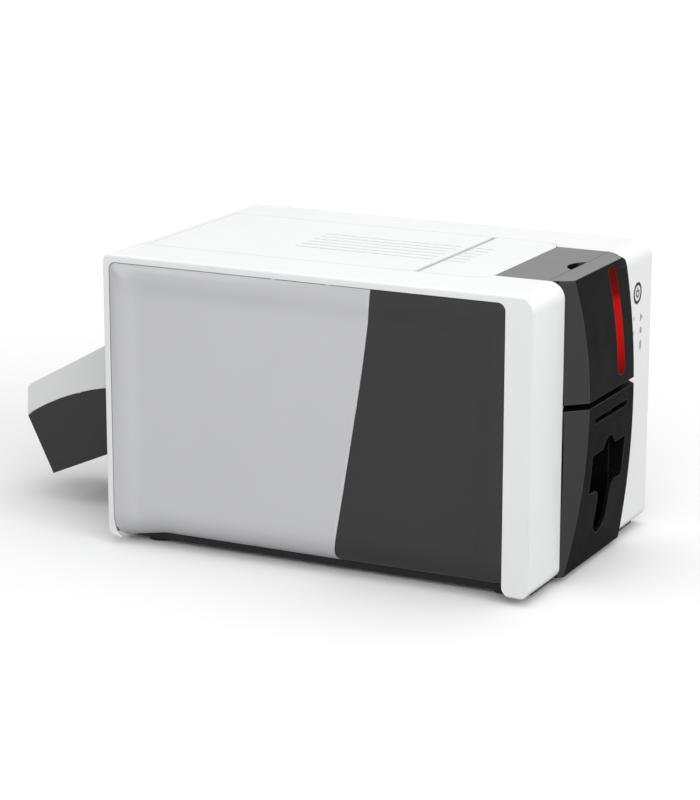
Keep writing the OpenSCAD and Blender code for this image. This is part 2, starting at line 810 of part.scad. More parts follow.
module base_tray() placed() color(charcoal) difference() {
    union() {
        box([-tray_x, tray_y0, foot_h], [tray_x, tray_y1, floor_z]);
        difference() {
            box([-tray_x, tray_y0, foot_h], [tray_x, tray_y1, tray_rim_z]);
            box([-tray_x + wall, tray_y0 + wall, foot_h - 1], [tray_x - wall, tray_y1 - wall, tray_rim_z + 1]);
        }
        for (y = [-foot_y, foot_y]) both() translate([foot_x, y, foot_h])
            cylinder(h = foot_peg, r = 2 * foot_peg_r, $fn = fine);
    }
    // place of the front moulding
    box([-deck_x - 1, tray_y0 - 1, 0], [deck_x + 1, seam_y + 1, tray_rim_z + 1]);
    for (y = [-foot_y, foot_y]) both() translate([foot_x, y, 0])
        cylinder(h = tray_rim_z, r = foot_peg_r + run_fit, $fn = fine);
    // air slots under the boards and the drive
    for (y = [-60:30:90]) for (x = [-60, -30, 30, 60])
        box([x - tray_slot.x / 2, y, foot_h - 1], [x + tray_slot.x / 2, y + tray_slot.y, floor_z + 1]);
    for (p = frame_screws) both() translate([p.x, p.y, 0]) cylinder(h = 20, r = screw_r + run_fit, $fn = fine);
}

module rubber_feet() placed() color(rubber) for (y = [-foot_y, foot_y]) both() translate([foot_x, y, 0]) {
    cylinder(h = foot_h, r = foot_r, $fn = fine);
    cylinder(h = foot_h + foot_peg, r = foot_peg_r, $fn = fine);
}

module side_shell_left() placed() color(white) mirror([1, 0, 0]) side_shell();

module side_shell_right() placed() color(white) difference() {
    union() {
        side_shell();
        for (p = light_screws) peg(p.x, front_y + wall - skin, board_y, p.y, post_r);
    }
    peg(button_x, front_y - 1, front_y + wall + 1, button_z, power_r);
    for (i = [0:2]) peg(lights_x, front_y - 1, front_y + wall + 1, lights_z + i * light_pitch, light_r + run_fit);
    for (p = light_screws) peg(p.x, board_y - 3, board_y + 1, p.y, tap_r);
}

module panel_left_rear() placed() color(light_grey) mirror([1, 0, 0]) panel_rear_part();
module panel_left_front() placed() color(charcoal) mirror([1, 0, 0]) panel_front_part();
module panel_right_rear() placed() color(light_grey) panel_rear_part();
module panel_right_front() placed() color(charcoal) panel_front_part();

module top_panel() placed() color(white) difference() {
    union() {
        box([-top_x + seam / 2, top_front_y, body_h - wall], [top_x - seam / 2, strip_y - seam / 2, body_h]);
        // stiffening ribs across the underside
        for (y = [top_front_y + 2, strip_y - 12])
            box([-top_x + 8, y, body_h - 2 * wall - 2], [top_x - 8, y + 2, body_h - wall + skin]);
    }
    vent_slots(top_front_y + 5, top_front_y + 5 + vent_long, 2 * wall);
}

module rear_panel() placed() color(white) difference() {
    union() {
        intersection() {
            difference() {
                casing(0);
                casing(wall);
            }
            union() {
                box([-side_x + rear_flange + seam / 2, rear_y - wall - 1, shell_gap],
                    [side_x - rear_flange - seam / 2, rear_y + 1, body_h - rear_round - 1.5 * seam]);
                box([-top_x + seam / 2, strip_y + seam / 2, body_h - 20], [top_x - seam / 2, rear_y + 1, body_h + 1]);
            }
        }
        // ledge under the rear edge of the top panel
        box([-top_x + 7, strip_y - 5, body_h - 2 * wall], [top_x - 7, rear_y - wall + skin, body_h - wall]);
    }
    // mouth that cards leave through
    box([-mouth_x, rear_y - 10, mouth_low], [mouth_x, rear_y + 1, mouth_high]);
    // slots for the hopper's hooks
    both() box([hopper_x - hopper_wall - 0.3, rear_y - wall - 1, hook_z - 0.3],
        [hopper_x + 0.3, rear_y + 1, hook_z + hook_h + 0.3]);
    // sockets
    box([port_x - port_fit, rear_y - 10, usb_z - port_fit],
        [port_x + usb_w + port_fit, rear_y + 1, usb_z + usb_h + port_fit]);
    box([port_x - port_fit, rear_y - 10, net_z - port_fit],
        [port_x + net_h + port_fit, rear_y + 1, net_z + net_w + port_fit]);
    peg(inlet_x, rear_y - 10, rear_y + 1, inlet_z, inlet_r + port_fit);
    // vents
    for (i = [0:rear_vents - 1]) both() translate([0, 0, rear_vent_z + i * rear_vent_pitch])
        box([hopper_x + 7, rear_y - 10, 0], [side_x - rear_flange - 14, rear_y + 1, rear_vent_h]);
}

module front_bezel() placed() color(charcoal) difference() {
    union() {
        difference() {
            nose_form(shell_gap, bezel_top, nose_lower_r, 0);
            nose_form(-1, bezel_top - nose_wall, nose_lower_r, nose_wall);
        }
        // sleeve that leads cards from the window into the magazine
        intersection() {
            nose_form(shell_gap, bezel_top, nose_lower_r, 0);
            box([-mag_x - mag_wall, nose_y - 1, mag_floor - mag_wall], [mag_x + mag_wall, mag_y0 - seam, sleeve_top]);
        }
    }
    intersection() {
        nose_form(shell_gap, bezel_top, nose_lower_r, nose_wall);
        box([-mag_x, nose_y, mag_floor], [mag_x, mag_y0, sleeve_top - mag_wall]);
    }
    box([-deck_x + nose_wall + seam, front_y + 1.6, -1], [deck_x - nose_wall - seam, seam_y + 5, bezel_top + 1]);
    along_y(nose_y - 1, front_y + 5) {
        window_outline();
        translate([-slot_w / 2, path_z + 0.3 - slot_h / 2]) square([slot_w, slot_h]);
    }
}

// ---------------------------------------------------------------- frame

// Side view of a frame plate without its holes
module frame_outline() {
    translate([frame_y0, floor_z])
        square([exit_roller_y + ear_margin + 2 - frame_y0, path_z + ear_margin - floor_z]);
    // ear for the take-up spool
    translate([takeup_ear_y, path_z]) square([22, takeup_z + 9 - path_z]);
    // ear for the catch of the hood
    translate([catch_y - 2 * catch_r, path_z]) square([4 * catch_r, max(catch_z - path_z, 0) + 2 * catch_r]);
    // ear for the ribbon motor
    translate([takeup_ear_y, path_z]) square([ribbon_pinion_y + ear_margin - takeup_ear_y, takeup_z - path_z]);
    // ear for the supply spool and the hinge
    translate([supply_y - ear_margin, path_z]) square([30, supply_ear_z - path_z]);
    translate([hinge_y - ear_r, path_z]) square([2 * ear_r, hinge_z - path_z]);
    translate([hinge_y, hinge_z]) circle(ear_r, $fn = fine);
    translate([hinge_y, supply_ear_z]) polygon([[-ear_margin, -1], [15, -1],
        [ear_r, (hinge_z - supply_ear_z) / 2], [-ear_r, (hinge_z - supply_ear_z) / 2]]);
    // rear foot
    translate([exit_roller_y, floor_z]) square([rear_y - ear_margin - exit_roller_y, rear_tie_z + 10 - floor_z]);
}

module frame_holes() {
    for (y = [front_roller_y, platen_y, middle_roller_y, exit_roller_y])
        translate([y, roller_z]) circle(bush_r, $fn = fine);
    for (y = [front_roller_y, middle_roller_y, exit_roller_y])
        translate([y, pinch_z]) circle(pinch_shaft_r + run_fit, $fn = fine);
    translate([pick_y, pick_z]) circle(pick_shaft_r + run_fit, $fn = fine);
    for (p = [[supply_y, supply_z], [takeup_y, takeup_z]]) translate(p) circle(spool_shaft_r + run_fit, $fn = fine);
    translate([hinge_y, hinge_z]) circle(hinge_pin_r + press, $fn = fine);
    for (p = tie_points) translate(p) circle(tie_end_r + press, $fn = fine);
}

// One frame plate, drawn for the right-hand side
module frame_plate() difference() {
    union() {
        along_x(frame_x, frame_out) difference() {
            frame_outline();
            frame_holes();
            // window that makes the plate lighter
            translate([middle_idler_y - 8, tie_points[0].y]) circle(relief_r, $fn = fine);
        }
        // bent feet that the screws hold
        for (p = frame_screws) box([tab_x, p.y - tab_half, floor_z], [frame_x + skin, p.y + tab_half, floor_z + frame_t]);
    }
    for (p = frame_screws) translate([p.x, p.y, 0]) cylinder(h = 20, r = screw_r + run_fit, $fn = fine);
}

module frame_plate_left() placed() color(steel) difference() {
    mirror([1, 0, 0]) {
        frame_plate();
        // stub axles of the idler gears and the hood's catch
        for (p = [[front_idler_y, front_idler_z], [middle_idler_y, roller_z], [rear_idler_y, roller_z]])
            rod(frame_out - skin, gear_x + gear_w + 1, p.x, p.y, shaft_r);
        catch();
    }
    translate([-frame_out - 1, rear_idler_y, motor_z]) rotate([0, 90, 0]) cylinder(h = 5, r = 8, $fn = fine);
}

module frame_plate_right() placed() color(steel) difference() {
    union() {
        frame_plate();
        catch();
        for (p = board_posts) rod(frame_out - skin, board_x, p.x, p.y, post_r);
    }
    for (p = board_posts) rod(board_x - 6, board_x + 1, p.x, p.y, tap_r);
    rod(frame_x - 1, frame_out + 1, ribbon_pinion_y, ribbon_pinion_z, ribbon_boss_r);
}

// Pin that a latch arm of the hood snaps over
module catch() rod(frame_out - skin, arm_x + arm_t + 0.1, catch_y, catch_z, catch_r);

module tie_bars() placed() color(steel) for (p = tie_points) {
    rod(-frame_x + press, frame_x - press, p.x, p.y, tie_r);
    rod(-frame_out - 0.5, frame_out + 0.5, p.x, p.y, tie_end_r);
}

module shaft_bushes() placed() color(acetal) for (y = [front_roller_y, platen_y, middle_roller_y, exit_roller_y]) both()
    difference() {
        union() {
            rod(frame_x - 1.2, frame_out + 0.4, y, roller_z, bush_r - press);
            rod(frame_x - 1.2 - bush_flange, frame_x - 0.05, y, roller_z, bush_r + 1);
        }
        rod(frame_x - 5, frame_out + 5, y, roller_z, shaft_r + run_fit);
    }

module card_track() placed() color(charcoal) {
    difference() {
        union() {
            box([-track_out, track_y0, track_z0], [track_out, track_y1, track_z1]);
            both() box([track_x, track_y0, track_z0], [track_out, track_y1, track_edge]);
            // tabs that hold the track between the frame plates
            for (y = [front_y + 10, middle_idler_y - 18, rear_idler_y - 4]) both()
                box([track_x, y, track_z0], [frame_x - press, y + 8, track_z1]);
        }
        for (y = [front_roller_y, platen_y, middle_roller_y, exit_roller_y])
            box([-sleeve_x - 1, y - roller_r - 0.6, path_z - 5], [sleeve_x + 1, y + roller_r + 0.6, path_z + 5]);
        // mouth of the ramp from the feeder
        box([-track_x + 0.2, platen_y + 22, path_z - 5], [track_x - 0.2, track_feed_y, path_z + 5]);
    }
    // ramp from the feeder up to the path
    along_x(-track_x + 0.4, track_x - 0.4) polygon([[mag_y1 + 0.4, lift_z + 1], [mag_y1 + 0.4, lift_z - 1],
        [track_feed_y, path_z - 4], [track_feed_y, path_z - 1.9]]);
    // chute down to the hopper
    along_x(-track_x, track_x) polygon([[track_y1, track_z1], [track_y1, track_z0],
        [chute_y, tray_high - 1], [chute_y, tray_high + 1.2]]);
    both() along_x(track_x, track_out) polygon([[track_y1 - skin, track_edge], [track_y1 - skin, track_z0],
        [chute_y, tray_high - 1], [chute_y, tray_high + 8]]);
}

// ---------------------------------------------------------------- feeder

module feeder_magazine() placed() color(black) difference() {
    union() {
        difference() {
            box([-mag_x - mag_wall, mag_y0, mag_floor - mag_wall], [mag_x + mag_wall, mag_y1, mag_top]);
            box([-mag_x, mag_y0 - 1, mag_floor], [mag_x, mag_y1 - mag_wall, huge]);
        }
        // seats of the springs
        both() box([mag_x, spring_y - 8, mag_floor - mag_wall], [frame_x - 0.1, spring_y + 8, mag_floor]);
    }
    // slots for the lifter's ears
    both() box([mag_x - 1, spring_y - ear_half - 0.5, lift_z - lift_travel - 1],
        [mag_x + mag_wall + 1, spring_y + ear_half + 0.5, huge]);
    // gate at the rear
    box([-mag_x, mag_y1 - 5, lift_z + lift_t - 0.2], [mag_x, mag_y1 + 1, huge]);
}

module lifter_plate() placed() color(steel) {
    box([-mag_x + 0.5, mag_y0 + 3, lift_z], [mag_x - 0.5, mag_y1 - mag_wall - 0.5, lift_z + lift_t]);
    both() box([mag_x - 2, spring_y - ear_half, lift_z],
        [spring_x + coil_r + wire / 2 + 0.1, spring_y + ear_half, lift_z + lift_t]);
}

// A coil spring of n turns standing at [x, y] between z0 and z1
module coil_spring(x, y, z0, z1, n, rings = 12, sides = 6) {
    steps = n * rings;
    points = [for (i = [0:steps]) let (a = 360 * i / rings, z = z0 + wire / 2 + (z1 - z0 - wire) * i / steps)
        for (j = [0:sides - 1]) let (b = 360 * j / sides, r = coil_r + wire / 2 * cos(b))
            [x + r * cos(a), y + r * sin(a), z + wire / 2 * sin(b)]];
    walls = [for (i = [0:steps - 1]) for (j = [0:sides - 1])
        let (p = i * sides + j, q = i * sides + (j + 1) % sides)
        each [[p, q, q + sides], [p, q + sides, p + sides]]];
    last = steps * sides;
    ends = [for (j = [1:sides - 2]) each [[0, j + 1, j], [last, last + j, last + j + 1]]];
    polyhedron(points, concat(walls, ends), convexity = 10);
}

module lifter_springs() placed() color(steel)
    for (s = [-1, 1]) coil_spring(s * spring_x, spring_y, mag_floor, lift_z, coils);

module pick_roller() placed() color(rubber) {
    rod(-pick_w / 2, pick_w / 2, pick_y, pick_z, pick_r);
    rod(-frame_out - 1, frame_out + 1, pick_y, pick_z, pick_shaft_r);
}

// ---------------------------------------------------------------- drive

module drive_motor() placed() color(steel) difference() {
    union() {
        along_x(-frame_x + 0.02, -frame_x + motor_l) rounded([rear_idler_y - motor_w / 2, motor_z - motor_w / 2],
            [rear_idler_y + motor_w / 2, motor_z + motor_w / 2], [4, 4, 4, 4]);
        rod(-frame_out - 0.5, -frame_x + 1, rear_idler_y, motor_z, 7.9);
    }
    rod(-frame_out - 5, -frame_x + 12, rear_idler_y, motor_z, 2.5 + run_fit);
}

module motor_pinion() placed() color(steel) {
    gear(pinion_teeth, pinion_a, -gear_x - gear_w, -gear_x, rear_idler_y, motor_z, 2);
    rod(-gear_x - gear_w, -frame_x + 11, rear_idler_y, motor_z, 2.5);
}

module idler(n, a, y, z) gear(n, a, -gear_x - gear_w, -gear_x, y, z, shaft_r + run_fit);
module front_idler() placed() color(acetal) idler(small_teeth, front_idler_a, front_idler_y, front_idler_z);
module middle_idler() placed() color(acetal) idler(idler_teeth, middle_idler_a, middle_idler_y, roller_z);
module rear_idler() placed() color(acetal) idler(idler_teeth, rear_idler_a, rear_idler_y, roller_z);

// A drive roller with a rubber sleeve on a shaft
module drive_roller(y) {
    rod(-sleeve_x, sleeve_x, y, roller_z, roller_r);
    rod(-gear_x - gear_w - 1, frame_out + 1.5, y, roller_z, shaft_r);
}
module front_roller() placed() color(rubber) drive_roller(front_roller_y);
module platen_roller() placed() color(rubber) drive_roller(platen_y);
module middle_roller() placed() color(rubber) drive_roller(middle_roller_y);
module exit_roller() placed() color(rubber) drive_roller(exit_roller_y);

module roller_gear(a, y) gear(roller_teeth, a, -gear_x - gear_w, -gear_x, y, roller_z, shaft_r);
module front_roller_gear() placed() color(acetal) roller_gear(front_gear_a, front_roller_y);
module platen_gear() placed() color(acetal) roller_gear(platen_a, platen_y);
module middle_roller_gear() placed() color(acetal) roller_gear(middle_gear_a, middle_roller_y);
module exit_roller_gear() placed() color(acetal) roller_gear(exit_gear_a, exit_roller_y);

// A free pinch roller above a drive roller
module pinch_roller(y) {
    for (x = [-18, 0, 18]) rod(x - 5, x + 5, y, pinch_z, pinch_r);
    rod(-frame_out - 0.6, frame_out + 0.6, y, pinch_z, pinch_shaft_r);
}
module front_pinch_roller() placed() color(steel) pinch_roller(front_roller_y);
module middle_pinch_roller() placed() color(steel) pinch_roller(middle_roller_y);
module exit_pinch_roller() placed() color(steel) pinch_roller(exit_roller_y);

// ---------------------------------------------------------------- ribbon

// A spool with a roll of radius r between two flanges
module spool(y, z, r, flange) {
    rod(-spool_x + spool_fit, spool_x - spool_fit, y, z, r);
    both() rod(spool_x - spool_fit - skin, spool_x - spool_fit + flange_t, y, z, flange);
    rod(-frame_out - 0.5, frame_out + 0.5, y, z, spool_shaft_r);
    both() rod(spool_x, frame_x - 0.8, y, z, spool_shaft_r + 1.5);
}

module supply_spool() placed() color(black) spool(supply_y, supply_z, supply_r, supply_r + 1.5);

module takeup_spool() placed() color(black) {
    spool(takeup_y, takeup_z, takeup_r, takeup_r + 2);
    gear(ribbon_teeth, 0, spool_gear_x, spool_gear_x + ribbon_gear_w, takeup_y, takeup_z, spool_shaft_r);
}

module ribbon_film() placed() color([0.35, 0.2, 0.45, 0.8])
    along_x(-spool_x + 1.5, spool_x - 1.5) polygon(concat(
        film_path, [for (i = [len(film_path) - 1:-1:0]) film_path[i] - [0, film_t]]));

module ribbon_motor() placed() color(steel) difference() {
    union() {
        rod(frame_out + press, frame_out + ribbon_motor_l, ribbon_pinion_y, ribbon_pinion_z, ribbon_motor_r);
        rod(frame_x + 0.1, frame_out + 1, ribbon_pinion_y, ribbon_pinion_z, ribbon_boss_r - 0.1);
    }
    rod(frame_x - 5, frame_out + 8, ribbon_pinion_y, ribbon_pinion_z, ribbon_shaft_r + run_fit);
}

module ribbon_pinion() placed() color(acetal) {
    gear(ribbon_teeth, ribbon_a, spool_gear_x, spool_gear_x + ribbon_gear_w, ribbon_pinion_y, ribbon_pinion_z,
        ribbon_shaft_r - 0.5);
    rod(spool_gear_x, frame_out + 7, ribbon_pinion_y, ribbon_pinion_z, ribbon_shaft_r);
}

// ---------------------------------------------------------------- hood

module hood_top() placed() color(white) difference() {
    union() {
        translate([0, 0, body_h - wall]) linear_extrude(wall)
            rounded([-top_x + seam / 2, hood_y + seam / 2], [top_x - seam / 2, hinge_y],
                [hood_corner, hood_corner, 0, 0]);
        rod(-top_x + seam / 2, top_x - seam / 2, hinge_y, hinge_z, barrel_r);
        // side skirts
        both() box([top_x - seam / 2 - wall, hood_y + hood_corner, body_h - skirt],
            [top_x - seam / 2, hinge_y - barrel_r - 1, body_h - skin]);
    }
    rod(-top_x + 3, top_x - 3, hinge_y, hinge_z, hinge_pin_r + run_fit);
    // slots for the ears of the frame plates
    both() translate([0, hinge_y, hinge_z]) box([frame_x - 0.4, -ear_r - 0.4, -barrel_r - 1],
        [frame_out + 0.4, barrel_r + 1, ear_r + 0.4]);
    vent_slots(hinge_y - vent_short, hinge_y - barrel_r - 1, 2 * wall);
    vent_slots(hinge_y - barrel_r - 2, hinge_y, barrel_r / 3);
}

module hood_deck() placed() color(charcoal) {
    difference() {
        union() {
            box([-deck_x + seam / 2, seam_y + seam / 2, body_h - wall], [deck_x - seam / 2, hood_y - seam / 2, body_h]);
            // tongues under the neighbouring covers
            box([-deck_x + 6, seam_y - 6, body_h - 2 * wall], [deck_x - 6, hood_y + 13, body_h - wall]);
            both() box([deck_x - seam / 2 - wall, seam_y + seam, body_h - skirt - 8],
                [deck_x - seam / 2, hood_y - 2, body_h - skin]);
        }
        translate([0, 0, body_h - 20]) linear_extrude(30) release_plan(button_fit);
    }
    // sleeve that guides the release button
    translate([0, 0, body_h - 12]) linear_extrude(12 - wall) difference() {
        release_plan(button_fit + 1.6);
        release_plan(button_fit);
    }
    // latch arms
    both() along_x(arm_x, arm_x + arm_t) {
        translate([arm_y, arm_z]) square([6, body_h - wall - arm_z]);
        intersection() {
            translate([hinge_y, hinge_z]) circle(latch_r, $fn = 360);
            translate([arm_y - 4, arm_z - 8]) square([10, 14]);
        }
    }
}

module hood_nose() placed() color(charcoal) difference() {
    nose_form(hood_low, body_h, nose_upper_r, 0);
    nose_form(hood_low + nose_wall, body_h - wall, nose_upper_r, nose_wall);
    // room below for the ears of the frame plates, and for the take-up spool and its gear
    box([-deck_x + nose_wall + seam, front_y + 0.5, hood_low - 1],
        [deck_x - nose_wall - seam, seam_y + 5, hood_low + nose_wall + 1]);
    box([-spool_gear_x - ribbon_gear_w - 2, front_y - 6, hood_low - 1],
        [spool_gear_x + ribbon_gear_w + 2, seam_y + 5, hood_low + nose_wall + 1]);
    along_y(nose_y - 1, strip_back) strip_outline(0.15);
}

module light_strip() placed() color(red) intersection() {
    difference() {
        nose_form(hood_low, body_h, nose_upper_r, 0);
        nose_form(hood_low - 1, body_h + 1, nose_upper_r, nose_wall);
    }
    along_y(nose_y - 1, strip_back + 2) strip_outline(0);
}

module head_bracket() placed() color(steel) {
    // web, upper flange under the hood, lower flange over the head, and two side ribs
    box([-head_x, platen_y - head_sheet, head_top], [head_x, platen_y, body_h - wall]);
    box([-head_x, platen_y - head_sheet, body_h - wall - head_sheet], [head_x, platen_y + 14, body_h - wall]);
    box([-head_x, platen_y - 5, head_top], [head_x, platen_y + 7, head_top + head_sheet]);
    both() along_x(head_x - head_sheet, head_x) polygon([[platen_y - 5, head_top], [platen_y + 7, head_top],
        [platen_y + 7, head_top + rib_rise / 2], [platen_y, head_top + rib_rise],
        [platen_y - head_sheet, head_top + rib_rise], [platen_y - 5, head_top + rib_rise / 3]]);
}

module print_head() placed() color(black) {
    difference() {
        box([-head_x + 2, platen_y - 5, head_low + 1], [head_x - 2, platen_y + 8, head_top]);
        // cooling ribs
        for (i = [0:6]) translate([0, platen_y - 1 + i * 1.4, head_top])
            box([-head_x + 1, 0, -4], [head_x - 1, 0.6, 1]);
    }
    // ceramic bar with the heating line
    box([-track_x + 0.6, platen_y - 2, head_low], [track_x - 0.6, platen_y + 2, head_low + 1 + skin]);
}

module release_button() placed() color(black) {
    translate([0, 0, body_h - release_drop - 7]) linear_extrude(7) release_plan(0);
    translate([0, seam_y + release_d / 2, body_h - release_drop - 14]) cylinder(h = 8, r = 2, $fn = fine);
}

module hinge_pins() placed() color(steel) {
    rod(-top_x + 4, top_x - 4, hinge_y, hinge_z, hinge_pin_r);
    rod(-hopper_x, hopper_x, lid_pin_y, lid_pin_z, lid_pin_r);
}

// ---------------------------------------------------------------- controls

module power_button() placed() color(white) {
    peg(button_x, front_y, front_y + wall + 2, button_z, power_r - button_fit);
    peg(button_x, front_y + wall + 0.3, front_y + wall + 1.5, button_z, power_r + 1.2);
}

module status_lights() placed() color([0.75, 0.8, 0.85]) for (i = [0:2])
    peg(lights_x, front_y, board_y - 0.05, lights_z + i * light_pitch, light_r);

module light_board() placed() color(board_green) difference() {
    union() {
        box([light_board_x[0], board_y, light_board_z[0]], [light_board_x[1], board_y + board_t, light_board_z[1]]);
        // switch behind the power button
        box([button_x - 3, board_y - 2, button_z - 3], [button_x + 3, board_y + skin, button_z + 3]);
    }
    for (p = light_screws) peg(p.x, board_y - 3, board_y + 4, p.y, screw_r + run_fit);
}

module main_board() placed() color(board_green) difference() {
    box([board_x + press, board_y0, board_z[0]], [board_x + board_t, board_y1, board_z[1]]);
    for (p = board_posts) rod(board_x - 1, board_x + 3, p.x, p.y, screw_r + run_fit);
}

// Two chips, a connector, a relay, four capacitors and a row of small parts
module board_components() placed() color(black) {
    x = board_face;
    box([x, 0, 50], [x + 1.6, 22, 72]);
    box([x, 34, 56], [x + 1.4, 48, 70]);
    box([x, 4, 22], [x + 6, 44, 27]);
    box([x, 84, 24], [x + 8, 96, 54]);
    for (i = [0:3]) translate([x, 60 + i * 9, 84]) rotate([0, 90, 0]) cylinder(h = 10, r = 3.5, $fn = fine);
    for (i = [0:5]) box([x, -12 + i * 7, 84], [x + 2, -9 + i * 7, 89]);
}

module power_inlet() placed() color(black) difference() {
    union() {
        box([board_face, rear_y - 24, inlet_z - 7], [inlet_x + 7, rear_y - wall - port_fit, inlet_z + 7]);
        peg(inlet_x, rear_y - 6, rear_y + port_fit, inlet_z, inlet_r);
    }
    // round socket with its centre pin
    difference() {
        peg(inlet_x, rear_y - 14, rear_y + 1, inlet_z, 3.2);
        peg(inlet_x, rear_y - 15, rear_y - 2, inlet_z, 1);
    }
}

module usb_port() placed() color(steel) difference() {
    union() {
        box([board_face, rear_y - 20, usb_z], [port_x + usb_w, rear_y - 6, usb_z + usb_h]);
        box([port_x, rear_y - 7, usb_z], [port_x + usb_w, rear_y + 0.3, usb_z + usb_h]);
    }
    // socket with its tongue
    difference() {
        box([port_x + 1.6, rear_y - 12, usb_z + 1.3], [port_x + 10.4, rear_y + 1, usb_z + 9.7]);
        box([port_x + 3.8, rear_y - 13, usb_z + 3], [port_x + 8.2, rear_y - 2, usb_z + 8]);
    }
}

module network_port() placed() color(steel) difference() {
    box([port_x, rear_y - 21, net_z], [port_x + net_h, rear_y + 0.3, net_z + net_w]);
    box([port_x + 2, rear_y - 13, net_z + 2], [port_x + net_h - 2, rear_y + 1, net_z + net_w - 2]);
}

// ---------------------------------------------------------------- hopper

// Side view of the curved line between lid and tray, as a disc drawn in by t
module meet_disc(t) translate([meet_y, meet_z - meet_r]) circle(meet_r - t, $fn = 720);

// Side view of the tray, drawn in by t and open above when t > 0
module tray_side(t) intersection() {
    polygon([[rear_y + 0.2 - t * 10, tray_high + t * 1.09], [rear_y + 0.2 - t * 10, meet_z + 30],
        [hopper_y + 0.3 - t * 1.12, meet_z + 30], [hopper_y - 0.9 - t * 1.12, tray_low + 39.1],
        [hopper_y - tray_lean - t * 0.65, tray_low + t * 1.2]]);
    if (t == 0) meet_disc(0.25);
}

module hopper_tray() placed() color(charcoal) {
    difference() {
        along_x(-hopper_x, hopper_x) tray_side(0);
        along_x(-hopper_x + hopper_wall, hopper_x - hopper_wall) tray_side(hopper_wall);
    }
    // hooks that hang in the rear panel
    both() box([hopper_x - hopper_wall, rear_y - wall - 1.6, hook_z], [hopper_x, rear_y + 1, hook_z + hook_h]);
    // arms that carry the lid
    both() difference() {
        union() {
            along_x(arm_in, arm_out) {
                translate([lid_pin_y - arm_half, meet_z - 12]) square([2 * arm_half, lid_pin_z - meet_z + 12]);
                translate([lid_pin_y, lid_pin_z]) circle(arm_half, $fn = fine);
            }
            box([arm_in, lid_pin_y - arm_half, meet_z - 12],
                [hopper_x - hopper_wall + skin, lid_pin_y + arm_half, meet_z - 4]);
        }
        rod(arm_in - 1, arm_out + 1, lid_pin_y, lid_pin_z, lid_pin_r + press);
    }
}

// Side view of the lid, drawn in by t
module lid_side(t) difference() {
    union() {
        translate([lid_pin_y, lid_pin_z]) circle(lid_barrel_r - t, $fn = fine);
        polygon([[lid_pin_y - lid_barrel_r + t, lid_pin_z], [lid_pin_y - lid_barrel_r + t, 0],
            [hopper_y + 1.6 - t, 0], [hopper_y - 1.4 - t, lid_end - 1 - t], [hopper_y - 3.9 - t, lid_end + 2.2 - t],
            [lid_pin_y + lid_barrel_r * 0.48, lid_pin_z + lid_barrel_r * 0.88 - t * 1.14]]);
    }
    meet_disc(t == 0 ? -0.25 : 5);
}

module hopper_lid() placed() color(white) difference() {
    along_x(-hopper_x, hopper_x) lid_side(0);
    along_x(-hopper_x + hopper_wall, hopper_x - hopper_wall) difference() {
        lid_side(hopper_wall);
        translate([lid_pin_y, lid_pin_z]) circle(lid_barrel_r - skin, $fn = fine);
    }
    // open front, towards the casing
    box([-hopper_x + hopper_wall, lid_pin_y - lid_barrel_r - 1, 0],
        [hopper_x - hopper_wall, lid_pin_y - lid_barrel_r + 3, lid_pin_z - lid_barrel_r]);
    rod(-hopper_x - 1, hopper_x + 1, lid_pin_y, lid_pin_z, lid_pin_r + run_fit);
    both() box([arm_in - 0.3, lid_pin_y - lid_barrel_r - 1, lid_pin_z - lid_barrel_r - 1],
        [arm_out + 0.3, lid_pin_y + lid_barrel_r + 0.2, lid_pin_z + lid_barrel_r + 3]);
}

// ---------------------------------------------------------------- fasteners

module screws() placed() color(steel) {
    for (p = frame_screws) both() translate([p.x, p.y, 0]) {
        translate([0, 0, foot_h + 0.2]) cylinder(h = floor_z + frame_t - foot_h, r = screw_r, $fn = fine);
        translate([0, 0, floor_z + frame_t + press]) cylinder(h = screw_head, r = screw_head_r, $fn = fine);
    }
    for (p = board_posts) rod(board_face, board_face + screw_head, p.x, p.y, screw_head_r);
    for (p = light_screws)
        peg(p.x, board_y + board_t + press, board_y + board_t + screw_head, p.y, screw_head_r);
}

base_tray();
rubber_feet();
side_shell_left();
side_shell_right();
panel_left_rear();
panel_left_front();
panel_right_rear();
panel_right_front();
top_panel();
rear_panel();
front_bezel();
frame_plate_left();
frame_plate_right();
tie_bars();
shaft_bushes();
card_track();
feeder_magazine();
lifter_plate();
lifter_springs();
pick_roller();
drive_motor();
motor_pinion();
front_idler();
middle_idler();
rear_idler();
front_roller();
platen_roller();
middle_roller();
exit_roller();
front_roller_gear();
platen_gear();
middle_roller_gear();
exit_roller_gear();
front_pinch_roller();
middle_pinch_roller();
exit_pinch_roller();
supply_spool();
takeup_spool();
ribbon_film();
ribbon_motor();
ribbon_pinion();
hood_top();
hood_deck();
hood_nose();
light_strip();
head_bracket();
print_head();
release_button();
hinge_pins();
power_button();
status_lights();
light_board();
main_board();
board_components();
power_inlet();
usb_port();
network_port();
hopper_tray();
hopper_lid();
screws();
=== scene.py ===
"""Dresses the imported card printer: finishes for every piece, soft-dished side
panels, the marks on the controls and the small hardware, in a pale studio."""

from __future__ import annotations

import sys
import json
import logging
import math
from collections.abc import Callable, Iterable, Iterator
from contextlib import contextmanager
from dataclasses import dataclass, field
from enum import Enum
from functools import cache

import bmesh
import bpy
from mathutils import Matrix, Vector

